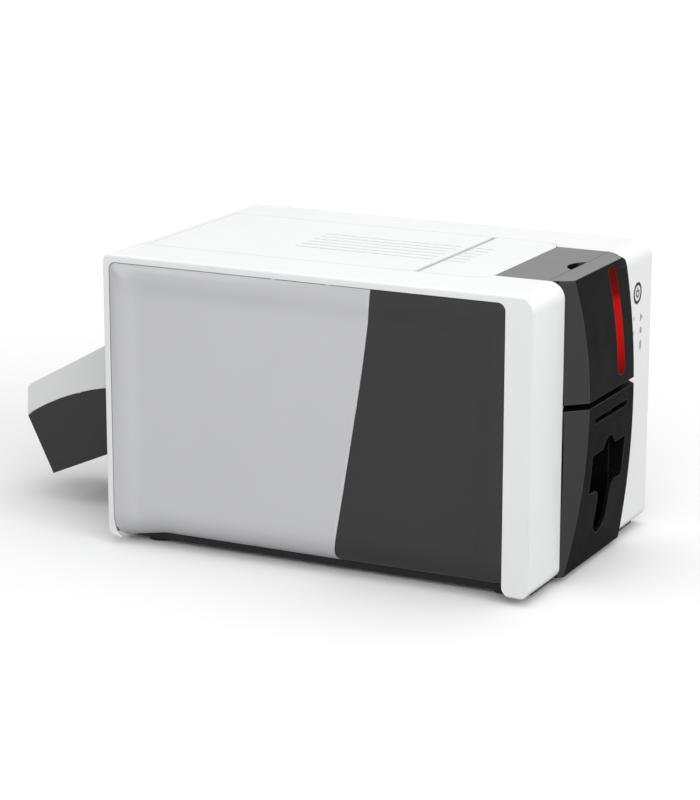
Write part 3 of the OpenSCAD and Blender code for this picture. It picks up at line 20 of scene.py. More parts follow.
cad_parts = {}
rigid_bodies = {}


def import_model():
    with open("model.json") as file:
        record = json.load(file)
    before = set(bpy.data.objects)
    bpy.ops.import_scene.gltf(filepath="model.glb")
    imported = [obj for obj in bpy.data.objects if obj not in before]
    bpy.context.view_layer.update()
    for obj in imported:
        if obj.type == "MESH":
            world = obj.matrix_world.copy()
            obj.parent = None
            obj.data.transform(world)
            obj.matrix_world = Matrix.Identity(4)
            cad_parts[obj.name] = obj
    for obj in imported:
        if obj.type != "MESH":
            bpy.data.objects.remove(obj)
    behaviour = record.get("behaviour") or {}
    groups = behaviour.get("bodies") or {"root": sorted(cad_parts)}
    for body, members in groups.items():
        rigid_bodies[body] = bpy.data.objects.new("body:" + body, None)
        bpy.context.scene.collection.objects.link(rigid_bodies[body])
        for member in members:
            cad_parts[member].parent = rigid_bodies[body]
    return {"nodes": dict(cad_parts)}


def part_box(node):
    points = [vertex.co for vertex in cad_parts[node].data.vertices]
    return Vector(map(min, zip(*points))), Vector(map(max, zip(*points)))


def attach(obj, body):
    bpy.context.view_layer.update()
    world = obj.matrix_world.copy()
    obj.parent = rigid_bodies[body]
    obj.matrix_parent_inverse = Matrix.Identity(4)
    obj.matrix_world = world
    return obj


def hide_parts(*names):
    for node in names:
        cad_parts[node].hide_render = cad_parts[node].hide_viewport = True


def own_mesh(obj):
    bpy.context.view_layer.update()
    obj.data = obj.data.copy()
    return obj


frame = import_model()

log = logging.getLogger("card_printer")

MM = 0.001
SHIFT_Y = -47.0  # the middle of the casing, seen from the part's origin, in mm
WHITE = (1.0, 1.0, 1.0, 1.0)
SMOOTH_ANGLE = 30.0  # edges of the carried nodes sharper than this stay sharp, in degrees
MERGE, FINE_MERGE = 1e-6, 1e-7  # points closer than this are merged, in metres

Colour = tuple[float, float, float]
Point = tuple[float, float, float]
Span = tuple[float, float]
Tree = bpy.types.NodeTree
Node = bpy.types.Node
Socket = bpy.types.NodeSocket
Material = bpy.types.Material
Piece = bpy.types.Object
Given = float | tuple[float, ...] | Socket


def at(x: float, y: float, z: float) -> Vector:
    """A place given in mm from the middle of the casing, in the frame's metres."""
    return Vector((x, y + SHIFT_Y, z)) * MM


# ---------------- named options


class Side(Enum):
    """The two sides of the casing."""

    LEFT = -1
    RIGHT = 1


class Brush(Enum):
    """The way a sheet or turned part was brushed, as the stretch of its grain."""

    ALONG_X = (0.03, 1.0, 1.0)
    ALONG_Y = (1.0, 0.03, 1.0)
    ALONG_Z = (1.0, 1.0, 0.03)


# ---------------- shader nodes


class Nodes:
    """The nodes of one tree, added and linked in one go."""

    def __init__(self, tree: Tree) -> None:
        """Takes the tree that the nodes go into."""
        self.tree = tree

    def add(self, kind: str, inputs: dict[int | str, Given] | None = None,
            **settings: str | int | float | bool | Tree) -> Node:
        """Adds a shader node, sets it up and fills its inputs.

        Args:
            kind: Type of the node, without the words ShaderNode.
            inputs: Value or source socket for each input's name or number.
            settings: The node's own settings.

        Returns:
            The node.
        """
        node = self.tree.nodes.new("ShaderNode" + kind)
        for label, value in settings.items():
            setattr(node, label, value)
        for label, value in (inputs or {}).items():
            if isinstance(value, Socket):
                self.tree.links.new(value, node.inputs[label])
            else:
                node.inputs[label].default_value = value
        return node

    def math(self, way: str, *values: float | Socket, clamp: bool = False) -> Socket:
        """Calculates with one or two values.

        Args:
            way: Operation of the Math node.
            values: Numbers or sockets.
            clamp: Whether the result is kept between 0 and 1.

        Returns:
            The socket with the result.
        """
        given = dict(enumerate(values))
        return self.add("Math", given, operation=way, use_clamp=clamp).outputs[0]

    def noise(self, place: Socket, scale: float | Socket, **values: float) -> Socket:
        """Adds noise at a place, with a scale and values for its other inputs."""
        given = {"Vector": place, "Scale": scale, **values}
        return self.add("TexNoise", given).outputs["Fac"]

    def spread(self, source: Socket, low: float, high: float, start: float = 0.0,
               end: float = 1.0) -> Socket:
        """Maps a value from start and end to low and high.

        Args:
            source: The value's socket.
            low: Result at start.
            high: Result at end.
            start: Value that gives low.
            end: Value that gives high.

        Returns:
            The socket with the result.
        """
        return self.add("MapRange", {"Value": source, "From Min": start, "From Max": end,
                                     "To Min": low, "To Max": high}).outputs["Result"]

    def blend(self, share: Socket, first: Colour | Socket, second: Colour | Socket) -> Socket:
        """Mixes two colours by a share.

        Args:
            share: Socket with the share of the second colour.
            first: First colour or its socket.
            second: Second colour or its socket.

        Returns:
            The socket with the mixed colour.
        """
        first, second = (c if isinstance(c, Socket) else (*c, 1.0) for c in (first, second))
        # a Mix node has its colours at the inputs 6 and 7, and the mixed one at the output 2
        return self.add("Mix", {0: share, 6: first, 7: second}, data_type="RGBA").outputs[2]

    def feed(self, node: Node, **values: Given) -> None:
        """Fills a node's inputs, each a value or socket by its name, with _ for a space."""
        for label, value in values.items():
            socket = node.inputs[label.replace("_", " ")]
            if isinstance(value, Socket):
                self.tree.links.new(value, socket)
            else:
                socket.default_value = value


class Groups:
    """The shader groups that several finishes share, each built once."""

    VECTORS = ("Vector", "Normal")
    SAMPLES = 4  # rays of the edge and hollow masks
    HOLLOW_REACH = 0.004  # width of the hollows that get painted shade, in metres
    HOLLOW_OPEN = (0.15, 0.45)  # openness at which a hollow's painted shade is full, and at which it ends
    SMEAR = 3.7  # scale of the gloss's pattern against that of the tone's

    @classmethod
    def start(cls, name: str, inputs: tuple[str, ...],
              outputs: tuple[str, ...]) -> tuple[Nodes, bpy.types.NodeOutputs]:
        """Starts a group with its named inputs and outputs.

        Args:
            name: Name of the group.
            inputs: Name of each input.
            outputs: Name of each output.

        Returns:
            The group's nodes and the sockets that bring its inputs.
        """
        tree = bpy.data.node_groups.new(name, "ShaderNodeTree")
        for way, labels in (("INPUT", inputs), ("OUTPUT", outputs)):
            for label in labels:
                kind = "NodeSocketVector" if label in cls.VECTORS else "NodeSocketFloat"
                tree.interface.new_socket(name=label, in_out=way, socket_type=kind)
        return Nodes(tree), tree.nodes.new("NodeGroupInput").outputs

    @staticmethod
    @cache
    def grain() -> Tree:
        """Fine moulded grain with slow changes of tone.

        Returns:
            The group, with outputs Height, Tone and Gloss, each about 0 to 1.
        """
        nodes, given = Groups.start("moulded grain", ("Vector", "Grain", "Cloud"),
                                    ("Height", "Tone", "Gloss"))
        place, cloud = given["Vector"], given["Cloud"]
        wider = nodes.math("MULTIPLY", cloud, Groups.SMEAR)
        nodes.feed(nodes.tree.nodes.new("NodeGroupOutput"),
                   Height=nodes.noise(place, given["Grain"], Detail=2.0, Roughness=0.6),
                   Tone=nodes.noise(place, cloud, Detail=3.0),
                   Gloss=nodes.noise(place, wider, Detail=4.0, Distortion=0.6))
        return nodes.tree

    @staticmethod
    @cache
    def edges() -> Tree:
        """Rounded edges, a mask that is 1 along them, and one from ambient occlusion that is 1 in
        narrow hollows, for painted shade.

        Returns:
            The group, with outputs Mask, Normal and Hollow.
        """
        nodes, given = Groups.start("rounded edges", ("Radius", "Reach"),
                                    ("Mask", "Normal", "Hollow"))
        rounded = nodes.add("Bevel", {"Radius": given["Radius"]}, samples=Groups.SAMPLES)
        normals = {0: rounded.outputs["Normal"], 1: nodes.add("NewGeometry").outputs["Normal"]}
        turn = nodes.add("VectorMath", normals, operation="DOT_PRODUCT").outputs["Value"]
        away = nodes.math("SUBTRACT", 1.0, turn)
        # ambient occlusion finds the narrow hollows that get painted shade
        sky = nodes.add("AmbientOcclusion", {"Distance": Groups.HOLLOW_REACH},
                        samples=Groups.SAMPLES)
        nodes.feed(nodes.tree.nodes.new("NodeGroupOutput"), Normal=rounded.outputs["Normal"],
                   Mask=nodes.math("MULTIPLY", away, given["Reach"], clamp=True),
                   Hollow=nodes.spread(sky.outputs["AO"], 1.0, 0.0, *Groups.HOLLOW_OPEN))
        return nodes.tree


# ---------------- finishes


def darker(colour: Colour, share: float) -> Colour:
    """A colour times a share."""
    return tuple(min(1.0, c * share) for c in colour)


class Paint(Nodes):
    """One material in the making, with its grain."""

    NOISE = (0.3, 0.7)  # the usual range of a noise

    def __init__(self, name: str, grain: float, cloud: float) -> None:
        """Starts a material.

        Args:
            name: Its name.
            grain: Scale of its fine grain.
            cloud: Scale of its slow changes of tone.
        """
        self.material = bpy.data.materials.new(name)
        self.material.use_nodes = True
        super().__init__(self.material.node_tree)
        self.place = self.add("TexCoord").outputs["Object"]
        self.grain = self.group(Groups.grain(), Vector=self.place, Grain=grain, Cloud=cloud)
        self.height = self.grain["Height"]

    def group(self, tree: Tree, **values: Given) -> bpy.types.NodeOutputs:
        """Places a shared group with its inputs filled, and gives its outputs."""
        node = self.add("Group", node_tree=tree)
        self.feed(node, **values)
        return node.outputs

    def edges(self, radius: float, reach: float = 5.0) -> bpy.types.NodeOutputs:
        """Adds the masks of the edges.

        Args:
            radius: Radius of the edges in metres.
            reach: How strongly the mask answers a turn of the surface.

        Returns:
            The outputs Mask, Normal and Hollow.
        """
        return self.group(Groups.edges(), Radius=radius, Reach=reach)

    def tone(self, low: float = 0.0, high: float = 1.0) -> Socket:
        """The slow changes of tone, between low and high."""
        return self.spread(self.grain["Tone"], low, high, *self.NOISE)

    def gloss(self, low: float, high: float) -> Socket:
        """The changes of gloss, between low and high."""
        return self.spread(self.grain["Gloss"], low, high, *self.NOISE)

    def mottled(self, colour: Colour, share: float) -> Socket:
        """A colour whose slow changes of tone go a share below and above it."""
        return self.blend(self.tone(), darker(colour, 1 - share), darker(colour, 1 + share))

    def lines(self, stretch: Point, scale: float, **values: float) -> Socket:
        """Noise that is drawn out into lines where the stretch is small."""
        drawn = self.add("Mapping", {"Vector": self.place, "Scale": stretch})
        return self.noise(drawn.outputs["Vector"], scale, **values)

    def bump(self, height: Socket, strength: float, distance: float,
             **normal: Socket) -> Socket:
        """Turns a height into a normal.

        Args:
            height: The height's socket.
            strength: Strength of the bump.
            distance: Height of the bump in metres.
            normal: As Normal, the normal that the bump starts from.

        Returns:
            The socket with the normal.
        """
        return self.add("Bump", {"Height": height, "Strength": strength, "Distance": distance,
                                 **normal}).outputs["Normal"]

    def facing(self, axis: str, start: float, end: float, both: bool = False) -> Socket:
        """A mask for the surfaces that face along an axis.

        Args:
            axis: X, Y or Z.
            start: Share of the normal along the axis at which the mask is 0.
            end: Share at which it is 1.
            both: Whether the surfaces that face the other way count too.

        Returns:
            The socket with the mask.
        """
        parts = self.add("SeparateXYZ", {0: self.add("TexCoord").outputs["Normal"]})
        share = parts.outputs[axis]
        if both:
            share = self.math("ABSOLUTE", share)
        return self.spread(share, 0.0, 1.0, start, end)

    def done(self, **values: float | Socket) -> Material:
        """Fills the shader's inputs, by name with _ for a space, and gives the material."""
        self.feed(self.tree.nodes["Principled BSDF"], **values)
        return self.material


@dataclass(frozen=True)
class Plastic:
    """A moulded plastic: its colour, gloss and grain, painted highlights on edges, top and cheeks,
    and painted shade in hollows.
    """

    name: str
    colour: Colour
    roughness: float = 0.4
    specular: float = 0.4
    grain: float = 0.00035
    depth: float = 0.08
    mottle: float = 0.03
    cloud: float = 14.0
    # share of the colour at the edges, a painted highlight
    edge_highlight: float = 1.25
    edge_radius: float = 0.0005
    # colours of the painted sheen on the upward faces and on the cheeks, if any
    top_sheen_colour: Colour | None = None
    cheek_sheen_colour: Colour | None = None
    # share of the colour in the painted shade of narrow hollows
    hollow: float = 0.35
    top_z: Span = (0.8, 0.99)
    cheek_x: Span = (0.5, 0.62)
    cheek_y: Span = (-0.12, -0.02)
    # range of the patchy painted highlight along the edges
    highlight_share: Span = (0.35, 1.0)
    gloss: Span = (-0.04, 0.05)
    grain_height: float = 0.3

    def shade(self, paint: Paint) -> Socket:
        """Mottles the plain colour, and paints a sheen of light on the cheeks and the top where
        their colours are given.

        Args:
            paint: The material in the making.

        Returns:
            The socket with the colour.
        """
        tone = paint.mottled(self.colour, self.mottle)
        # painted sheen: the cheeks, which face sideways, get a lighter colour
        if self.cheek_sheen_colour is not None:
            forward = paint.spread(paint.facing("Y", *self.cheek_y), 1.0, 0.0)
            cheek = paint.math("MULTIPLY", paint.facing("X", *self.cheek_x, both=True), forward)
            tone = paint.blend(cheek, tone, self.cheek_sheen_colour)
        # painted sheen: the upward faces get a lighter colour
        if self.top_sheen_colour is not None:
            tone = paint.blend(paint.facing("Z", *self.top_z), tone, self.top_sheen_colour)
        return tone

    def build(self) -> Material:
        """Builds the material."""
        paint = Paint(self.name, 1 / self.grain, self.cloud)
        edges = paint.edges(self.edge_radius)
        # painted highlight: patches along the edges get a lighter colour
        highlight_share = paint.math("MULTIPLY", edges["Mask"], paint.gloss(*self.highlight_share))
        highlighted = paint.blend(highlight_share, self.shade(paint),
                           darker(self.cheek_sheen_colour or self.colour, self.edge_highlight))
        # painted shade: narrow hollows get a darker colour
        return paint.done(
            Base_Color=paint.blend(edges["Hollow"], highlighted, darker(self.colour, self.hollow)),
            Roughness=paint.gloss(*(self.roughness + change for change in self.gloss)),
            Normal=paint.bump(paint.height, self.depth, self.grain * self.grain_height,
                              Normal=edges["Normal"]),
            Specular_IOR_Level=self.specular)


@dataclass(frozen=True)
class Metal:
    """A brushed or ground metal with patches of grime."""

    name: str
    colour: Colour
    brush: Brush = Brush.ALONG_Y
    roughness: float = 0.32
    scratch: float = 1400.0
    depth: float = 0.12
    edge_radius: float = 0.0003
    edge_reach: float = 4.0
    edge_highlight: float = 1.25
    grain: Span = (900.0, 45.0)
    lines: Span = (0.82, 1.12)
    grime: float = 0.6
    grime_most: float = 0.5
    gloss: Span = (-0.08, 0.12)
    height: float = 0.00002

    def build(self) -> Material:
        """Builds the material."""
        paint = Paint(self.name, *self.grain)
        lines = paint.lines(self.brush.value, self.scratch, Detail=3.0)
        edges = paint.edges(self.edge_radius, self.edge_reach)
        sheet = paint.blend(lines, *(darker(self.colour, share) for share in self.lines))
        dull = paint.blend(paint.tone(0.0, self.grime_most), sheet,
                           darker(self.colour, self.grime))
        # painted highlight: the edges get a lighter colour
        return paint.done(
            Base_Color=paint.blend(edges["Mask"], dull, darker(self.colour, self.edge_highlight)),
            Roughness=paint.gloss(*(self.roughness + change for change in self.gloss)),
            Normal=paint.bump(lines, self.depth, self.height, Normal=edges["Normal"]),
            Metallic=1.0)


@dataclass(frozen=True)
class Rubber:
    """Ground rubber with a dusty bloom."""

    name: str
    colour: Colour = (0.022, 0.022, 0.024)
    bloom: Colour = (0.07, 0.07, 0.068)
    bloom_most: float = 0.6
    grain: Span = (4000.0, 90.0)
    edge_radius: float = 0.0006
    edge_highlight: float = 1.3
    gloss: Span = (0.7, 0.9)
    depth: float = 0.5
    height: float = 0.0001
    specular: float = 0.25

    def build(self) -> Material:
        """Builds the material."""
        paint = Paint(self.name, *self.grain)
        edges = paint.edges(self.edge_radius)
        dusty = paint.blend(paint.tone(0.0, self.bloom_most), self.colour, self.bloom)
        # painted highlight: the edges get a paler colour
        return paint.done(
            Base_Color=paint.blend(edges["Mask"], dusty, darker(self.bloom, self.edge_highlight)),
            Roughness=paint.gloss(*self.gloss), Specular_IOR_Level=self.specular,
            Normal=paint.bump(paint.height, self.depth, self.height, Normal=edges["Normal"]))


@dataclass(frozen=True)
class LitStrip:
    """A red lens lit from inside, brightest in its middle and dim at its ends."""

    name: str
    low: float
    high: float
    colour: Colour = (0.09, 0.004, 0.003)
    glow: Colour = (0.44, 0.005, 0.004)
    strength: float = 1.0
    ends: Span = (0.12, 0.08)
    stops: tuple[Span, ...] = ((0.1, 0.4), (0.3, 0.8), (0.5, 0.95), (0.68, 0.85), (0.76, 0.2),
                               (0.9, 0.1))
    grain: Span = (1500.0, 60.0)
    mottle: float = 0.1
    gloss: Span = (0.3, 0.4)
    edge_radius: float = 0.0006
    depth: float = 0.03
    height: float = 0.00005

    def build(self) -> Material:
        """Builds the material."""
        paint = Paint(self.name, *self.grain)
        edges = paint.edges(self.edge_radius)
        parts = paint.add("SeparateXYZ", {0: paint.place})
        height = paint.spread(parts.outputs["Z"], 0.0, 1.0, self.low * MM, self.high * MM)
        ramp = paint.add("ValToRGB", {"Fac": height})
        stops = ramp.color_ramp.elements
        for stop, share in zip(stops, self.ends):
            stop.color = (*darker(self.glow, share), 1.0)
        for place, share in self.stops:
            stops.new(place).color = (*darker(self.glow, share), 1.0)
        return paint.done(
            Base_Color=paint.mottled(self.colour, self.mottle),
            Roughness=paint.gloss(*self.gloss), Specular_IOR_Level=0.0,
            Normal=paint.bump(paint.height, self.depth, self.height, Normal=edges["Normal"]),
            Emission_Color=ramp.outputs["Color"], Emission_Strength=self.strength)


@dataclass(frozen=True)
class Lens:
    """A small moulded lens of a status light."""

    name: str
    colour: Colour
    glow: Colour
    strength: float
    dim: float = 0.8
    grain: Span = (2500.0, 300.0)
    mottle: float = 0.15
    gloss: Span = (0.15, 0.25)

    def build(self) -> Material:
        """Builds the material."""
        paint = Paint(self.name, *self.grain)
        return paint.done(
            Base_Color=paint.mottled(self.colour, self.mottle),
            Roughness=paint.gloss(*self.gloss), Emission_Strength=self.strength,
            Emission_Color=paint.blend(paint.tone(), darker(self.glow, self.dim), self.glow))


@dataclass(frozen=True)
class Film:
    """Thin coated film, glossy and faintly streaked along its way."""

    name: str
    colour: Colour = (0.16, 0.05, 0.22)
    streak: Point = (1.0, 0.04, 0.04)
    scale: float = 700.0
    lines: Span = (0.7, 1.4)
    grain: Span = (1800.0, 25.0)
    gloss: Span = (0.1, 0.25)
    depth: float = 0.1
    height: float = 0.00005
    specular: float = 0.6

    def build(self) -> Material:
        """Builds the material."""
        paint = Paint(self.name, *self.grain)
        lines = paint.lines(self.streak, self.scale)
        return paint.done(
            Base_Color=paint.blend(lines, *(darker(self.colour, share) for share in self.lines)),
            Roughness=paint.gloss(*self.gloss), Specular_IOR_Level=self.specular,
            Normal=paint.bump(lines, self.depth, self.height))


@dataclass(frozen=True)
class CircuitBoard:
    """Green solder mask over copper tracks, with tinned pads."""

    name: str
    mask: Colour = (0.012, 0.085, 0.035)
    track: Colour = (0.02, 0.15, 0.055)
    tin: Colour = (0.55, 0.55, 0.52)
    pitch: float = 0.004
    pad: Span = (0.16, 0.2)
    aged: float = 0.7
    aged_most: float = 0.3
    grain: Span = (1500.0, 30.0)
    gloss: Span = (0.28, 0.4)
    depth: float = 0.3
    height: float = 0.00004

    LAYOUT = {"Mortar Size": 0.055, "Mortar Smooth": 0.1, "Brick Width": 1.7,
              "Row Height": 0.5, "Bias": 0.0}

    def build(self) -> Material:
        """Builds the material."""
        paint = Paint(self.name, *self.grain)
        upright = (math.radians(90), 0.0, math.radians(90))
        turned = paint.add("Mapping", {"Vector": paint.place, "Rotation": upright})
        tracks = paint.add("TexBrick", {
            "Vector": turned.outputs["Vector"], "Scale": 1.0 / self.pitch / 4, **self.LAYOUT,
        }, offset=0.37, squash=1.6, squash_frequency=3).outputs["Fac"]
        pads = paint.add("TexVoronoi", {"Vector": paint.place, "Scale": 1.0 / self.pitch})
        dots = paint.spread(pads.outputs["Distance"], 1.0, 0.0, *self.pad)
        green = paint.blend(tracks, self.mask, self.track)
        aged = paint.blend(paint.tone(0.0, self.aged_most), green, darker(self.mask, self.aged))
        return paint.done(Base_Color=paint.blend(dots, aged, self.tin), Metallic=dots,
                          Roughness=paint.gloss(*self.gloss),
                          Normal=paint.bump(tracks, self.depth, self.height))


@dataclass
class Finishes:
    """All finishes of the printer, each built once when it is first asked for."""

    made: dict[str, Material] = field(default_factory=dict)

    KINDS = (
        Plastic("white plastic", (0.83, 0.835, 0.84), roughness=0.38, specular=0.35, mottle=0.012,
                edge_highlight=1.06, depth=0.05),
        Plastic("grey plastic", (0.59, 0.593, 0.607), roughness=0.42, specular=0.25, mottle=0.014,
                edge_highlight=1.2, depth=0.07, edge_radius=0.0004),
        Plastic("charcoal plastic", (0.036, 0.036, 0.037), roughness=0.45, specular=0.22,
                mottle=0.05, edge_highlight=2.6, depth=0.1, edge_radius=0.0004),
        # the nose and bezel plastics carry painted sheen on their cheeks, and the nose on its top
        # too
        Plastic("nose plastic", (0.0065, 0.0065, 0.007), roughness=0.42, specular=0.012,
                mottle=0.04, edge_highlight=3.0, edge_radius=0.0009,
                top_sheen_colour=(0.235, 0.235, 0.238), cheek_sheen_colour=(0.046, 0.046, 0.047)),
        Plastic("bezel plastic", (0.005, 0.005, 0.0055), roughness=0.42, specular=0.008,
                mottle=0.04, edge_highlight=3.0, edge_radius=0.0008, cheek_sheen_colour=(0.046, 0.046, 0.047)),
        Plastic("black plastic", (0.01, 0.01, 0.011), roughness=0.5, specular=0.3, mottle=0.08,
                edge_highlight=3.0, depth=0.15),
        Plastic("acetal", (0.72, 0.7, 0.63), roughness=0.35, specular=0.5, edge_highlight=1.1,
                grain=0.0002, depth=0.03, edge_radius=0.0002),
        Plastic("printed mark", (0.05, 0.052, 0.058), roughness=0.5, specular=0.05, mottle=0.08,
                edge_highlight=1.4, edge_radius=0.0001),
        Plastic("faint mark", (0.36, 0.37, 0.4), roughness=0.5, specular=0.05, mottle=0.08,
                edge_highlight=1.2, edge_radius=0.0001),
        Metal("sheet steel", (0.56, 0.57, 0.58)),
        Metal("shaft steel", (0.62, 0.63, 0.64), brush=Brush.ALONG_X, roughness=0.22),
        Metal("spring steel", (0.5, 0.5, 0.5), brush=Brush.ALONG_Z, roughness=0.28),
        Metal("can steel", (0.45, 0.46, 0.47), brush=Brush.ALONG_Z, roughness=0.4),
        Rubber("roller rubber"),
        LitStrip("lit strip", 123.7, 193.0),
        Lens("status lens", (0.55, 0.58, 0.6), (0.2, 0.25, 0.3), 0.05),
        Film("ribbon film"),
        CircuitBoard("circuit board"),
    )

    def get(self, name: str) -> Material:
        """The finished material of a name."""
        if name not in self.made:
            self.made[name] = next(kind for kind in self.KINDS if kind.name == name).build()
        return self.made[name]


# ---------------- studio


@dataclass(frozen=True)
class Studio:
    """Pale floor, even soft light and the camera that the photograph gives."""

    camera_place: Point = (-1.56681, -0.80525, 0.53966)
    azimuth: float = -63.507
    elevation: float = 14.437
    roll: float = 0.055
    lens: float = 122.18
    sensor: float = 36.0
    clip: Span = (0.05, 60.0)
    world_light: float = 0.66
    floor_seen: Colour = (0.93, 0.93, 0.93)
    floor_felt: Colour = (0.32, 0.32, 0.32)
    floor_glow: float = 0.35
    floor_roughness: float = 0.9
    floor_size: float = 24.0
    glow_start: float = 0.3
    glow_full: float = 1.6
    aim: Point = (0.0, 0.0, 0.1)

    # name, place, size in metres and power in watts of each soft lamp
    LAMPS = (("softbox above", (0.2, -0.3, 2.6), 2.4, 16.5),
             ("softbox front", (-1.2, -2.6, 1.4), 1.8, 33.0),
             ("softbox left", (-2.6, -1.3, 1.5), 2.0, 33.0))

    def place_camera(self) -> None:
        """Sets the scene's camera at the photograph's place."""
        turn, up = math.radians(self.azimuth), math.radians(self.elevation)
        back = Vector((math.sin(turn) * math.cos(up), -math.cos(turn) * math.cos(up), math.sin(up)))
        right = (-back).cross(Vector((0, 0, 1))).normalized()
        above = right.cross(-back).normalized()
        tilt = math.radians(self.roll)
        right, above = (right * math.cos(tilt) + above * math.sin(tilt),
                        above * math.cos(tilt) - right * math.sin(tilt))
        bpy.ops.object.camera_add(location=self.camera_place)
        camera = bpy.context.object
        camera.name = "camera"
        camera.rotation_euler = Matrix((right, above, back)).transposed().to_euler()
        camera.data.sensor_width, camera.data.lens = self.sensor, self.lens
        camera.data.clip_start, camera.data.clip_end = self.clip
        bpy.context.scene.camera = camera

    @staticmethod
    def seen_directly(nodes: Nodes) -> Socket:
        """Builds a mask that is 1 for camera, glossy and transmission rays.

        Args:
            nodes: Nodes of the floor's material or the world.

        Returns:
            The socket with the mask.
        """
        path = nodes.add("LightPath").outputs
        shiny = nodes.math("MAXIMUM", path["Is Camera Ray"], path["Is Glossy Ray"])
        return nodes.math("MAXIMUM", shiny, path["Is Transmission Ray"])

    def light_world(self) -> None:
        """Gives the world a white ground and an even light."""
        world = bpy.data.worlds.new("studio")
        bpy.context.scene.world = world
        world.use_nodes = True
        nodes = Nodes(world.node_tree)
        strength = nodes.spread(self.seen_directly(nodes), self.world_light, 1.0)
        nodes.feed(nodes.tree.nodes["Background"], Color=WHITE, Strength=strength)

    def lay_floor(self) -> None:
        """Lays the plain pale floor."""
        bpy.ops.mesh.primitive_plane_add(size=self.floor_size, location=(0, 0, 0))
        floor = bpy.context.object
        floor.name = "floor"
        material = bpy.data.materials.new("pale floor")
        material.use_nodes = True
        nodes = Nodes(material.node_tree)
        seen, place = self.seen_directly(nodes), nodes.add("TexCoord").outputs["Object"]
        away = nodes.add("VectorMath", {0: place}, operation="LENGTH").outputs["Value"]
        fade = nodes.spread(away, 0.0, self.floor_glow, self.glow_start, self.glow_full)
        nodes.feed(nodes.tree.nodes["Principled BSDF"],
                   Base_Color=nodes.blend(seen, self.floor_felt, self.floor_seen),
                   Roughness=self.floor_roughness, Specular_IOR_Level=0.0,
                   Emission_Color=WHITE, Emission_Strength=nodes.math("MULTIPLY", seen, fade))
        floor.data.materials.append(material)

    def hang_lamps(self) -> None:
        """Hangs three large soft lamps."""
        for name, place, size, power in self.LAMPS:
            bpy.ops.object.light_add(type="AREA", location=place)
            lamp = bpy.context.object
            lamp.name = name
            lamp.data.size, lamp.data.energy = size, power
            way = Vector(self.aim) - Vector(place)
            lamp.rotation_euler = way.to_track_quat("-Z", "Y").to_euler()

    def build(self) -> None:
        """Builds the whole studio."""
        self.place_camera()
        self.light_world()
        self.lay_floor()
        self.hang_lamps()
        bpy.context.scene.view_settings.view_transform = "Standard"


# ---------------- the bench


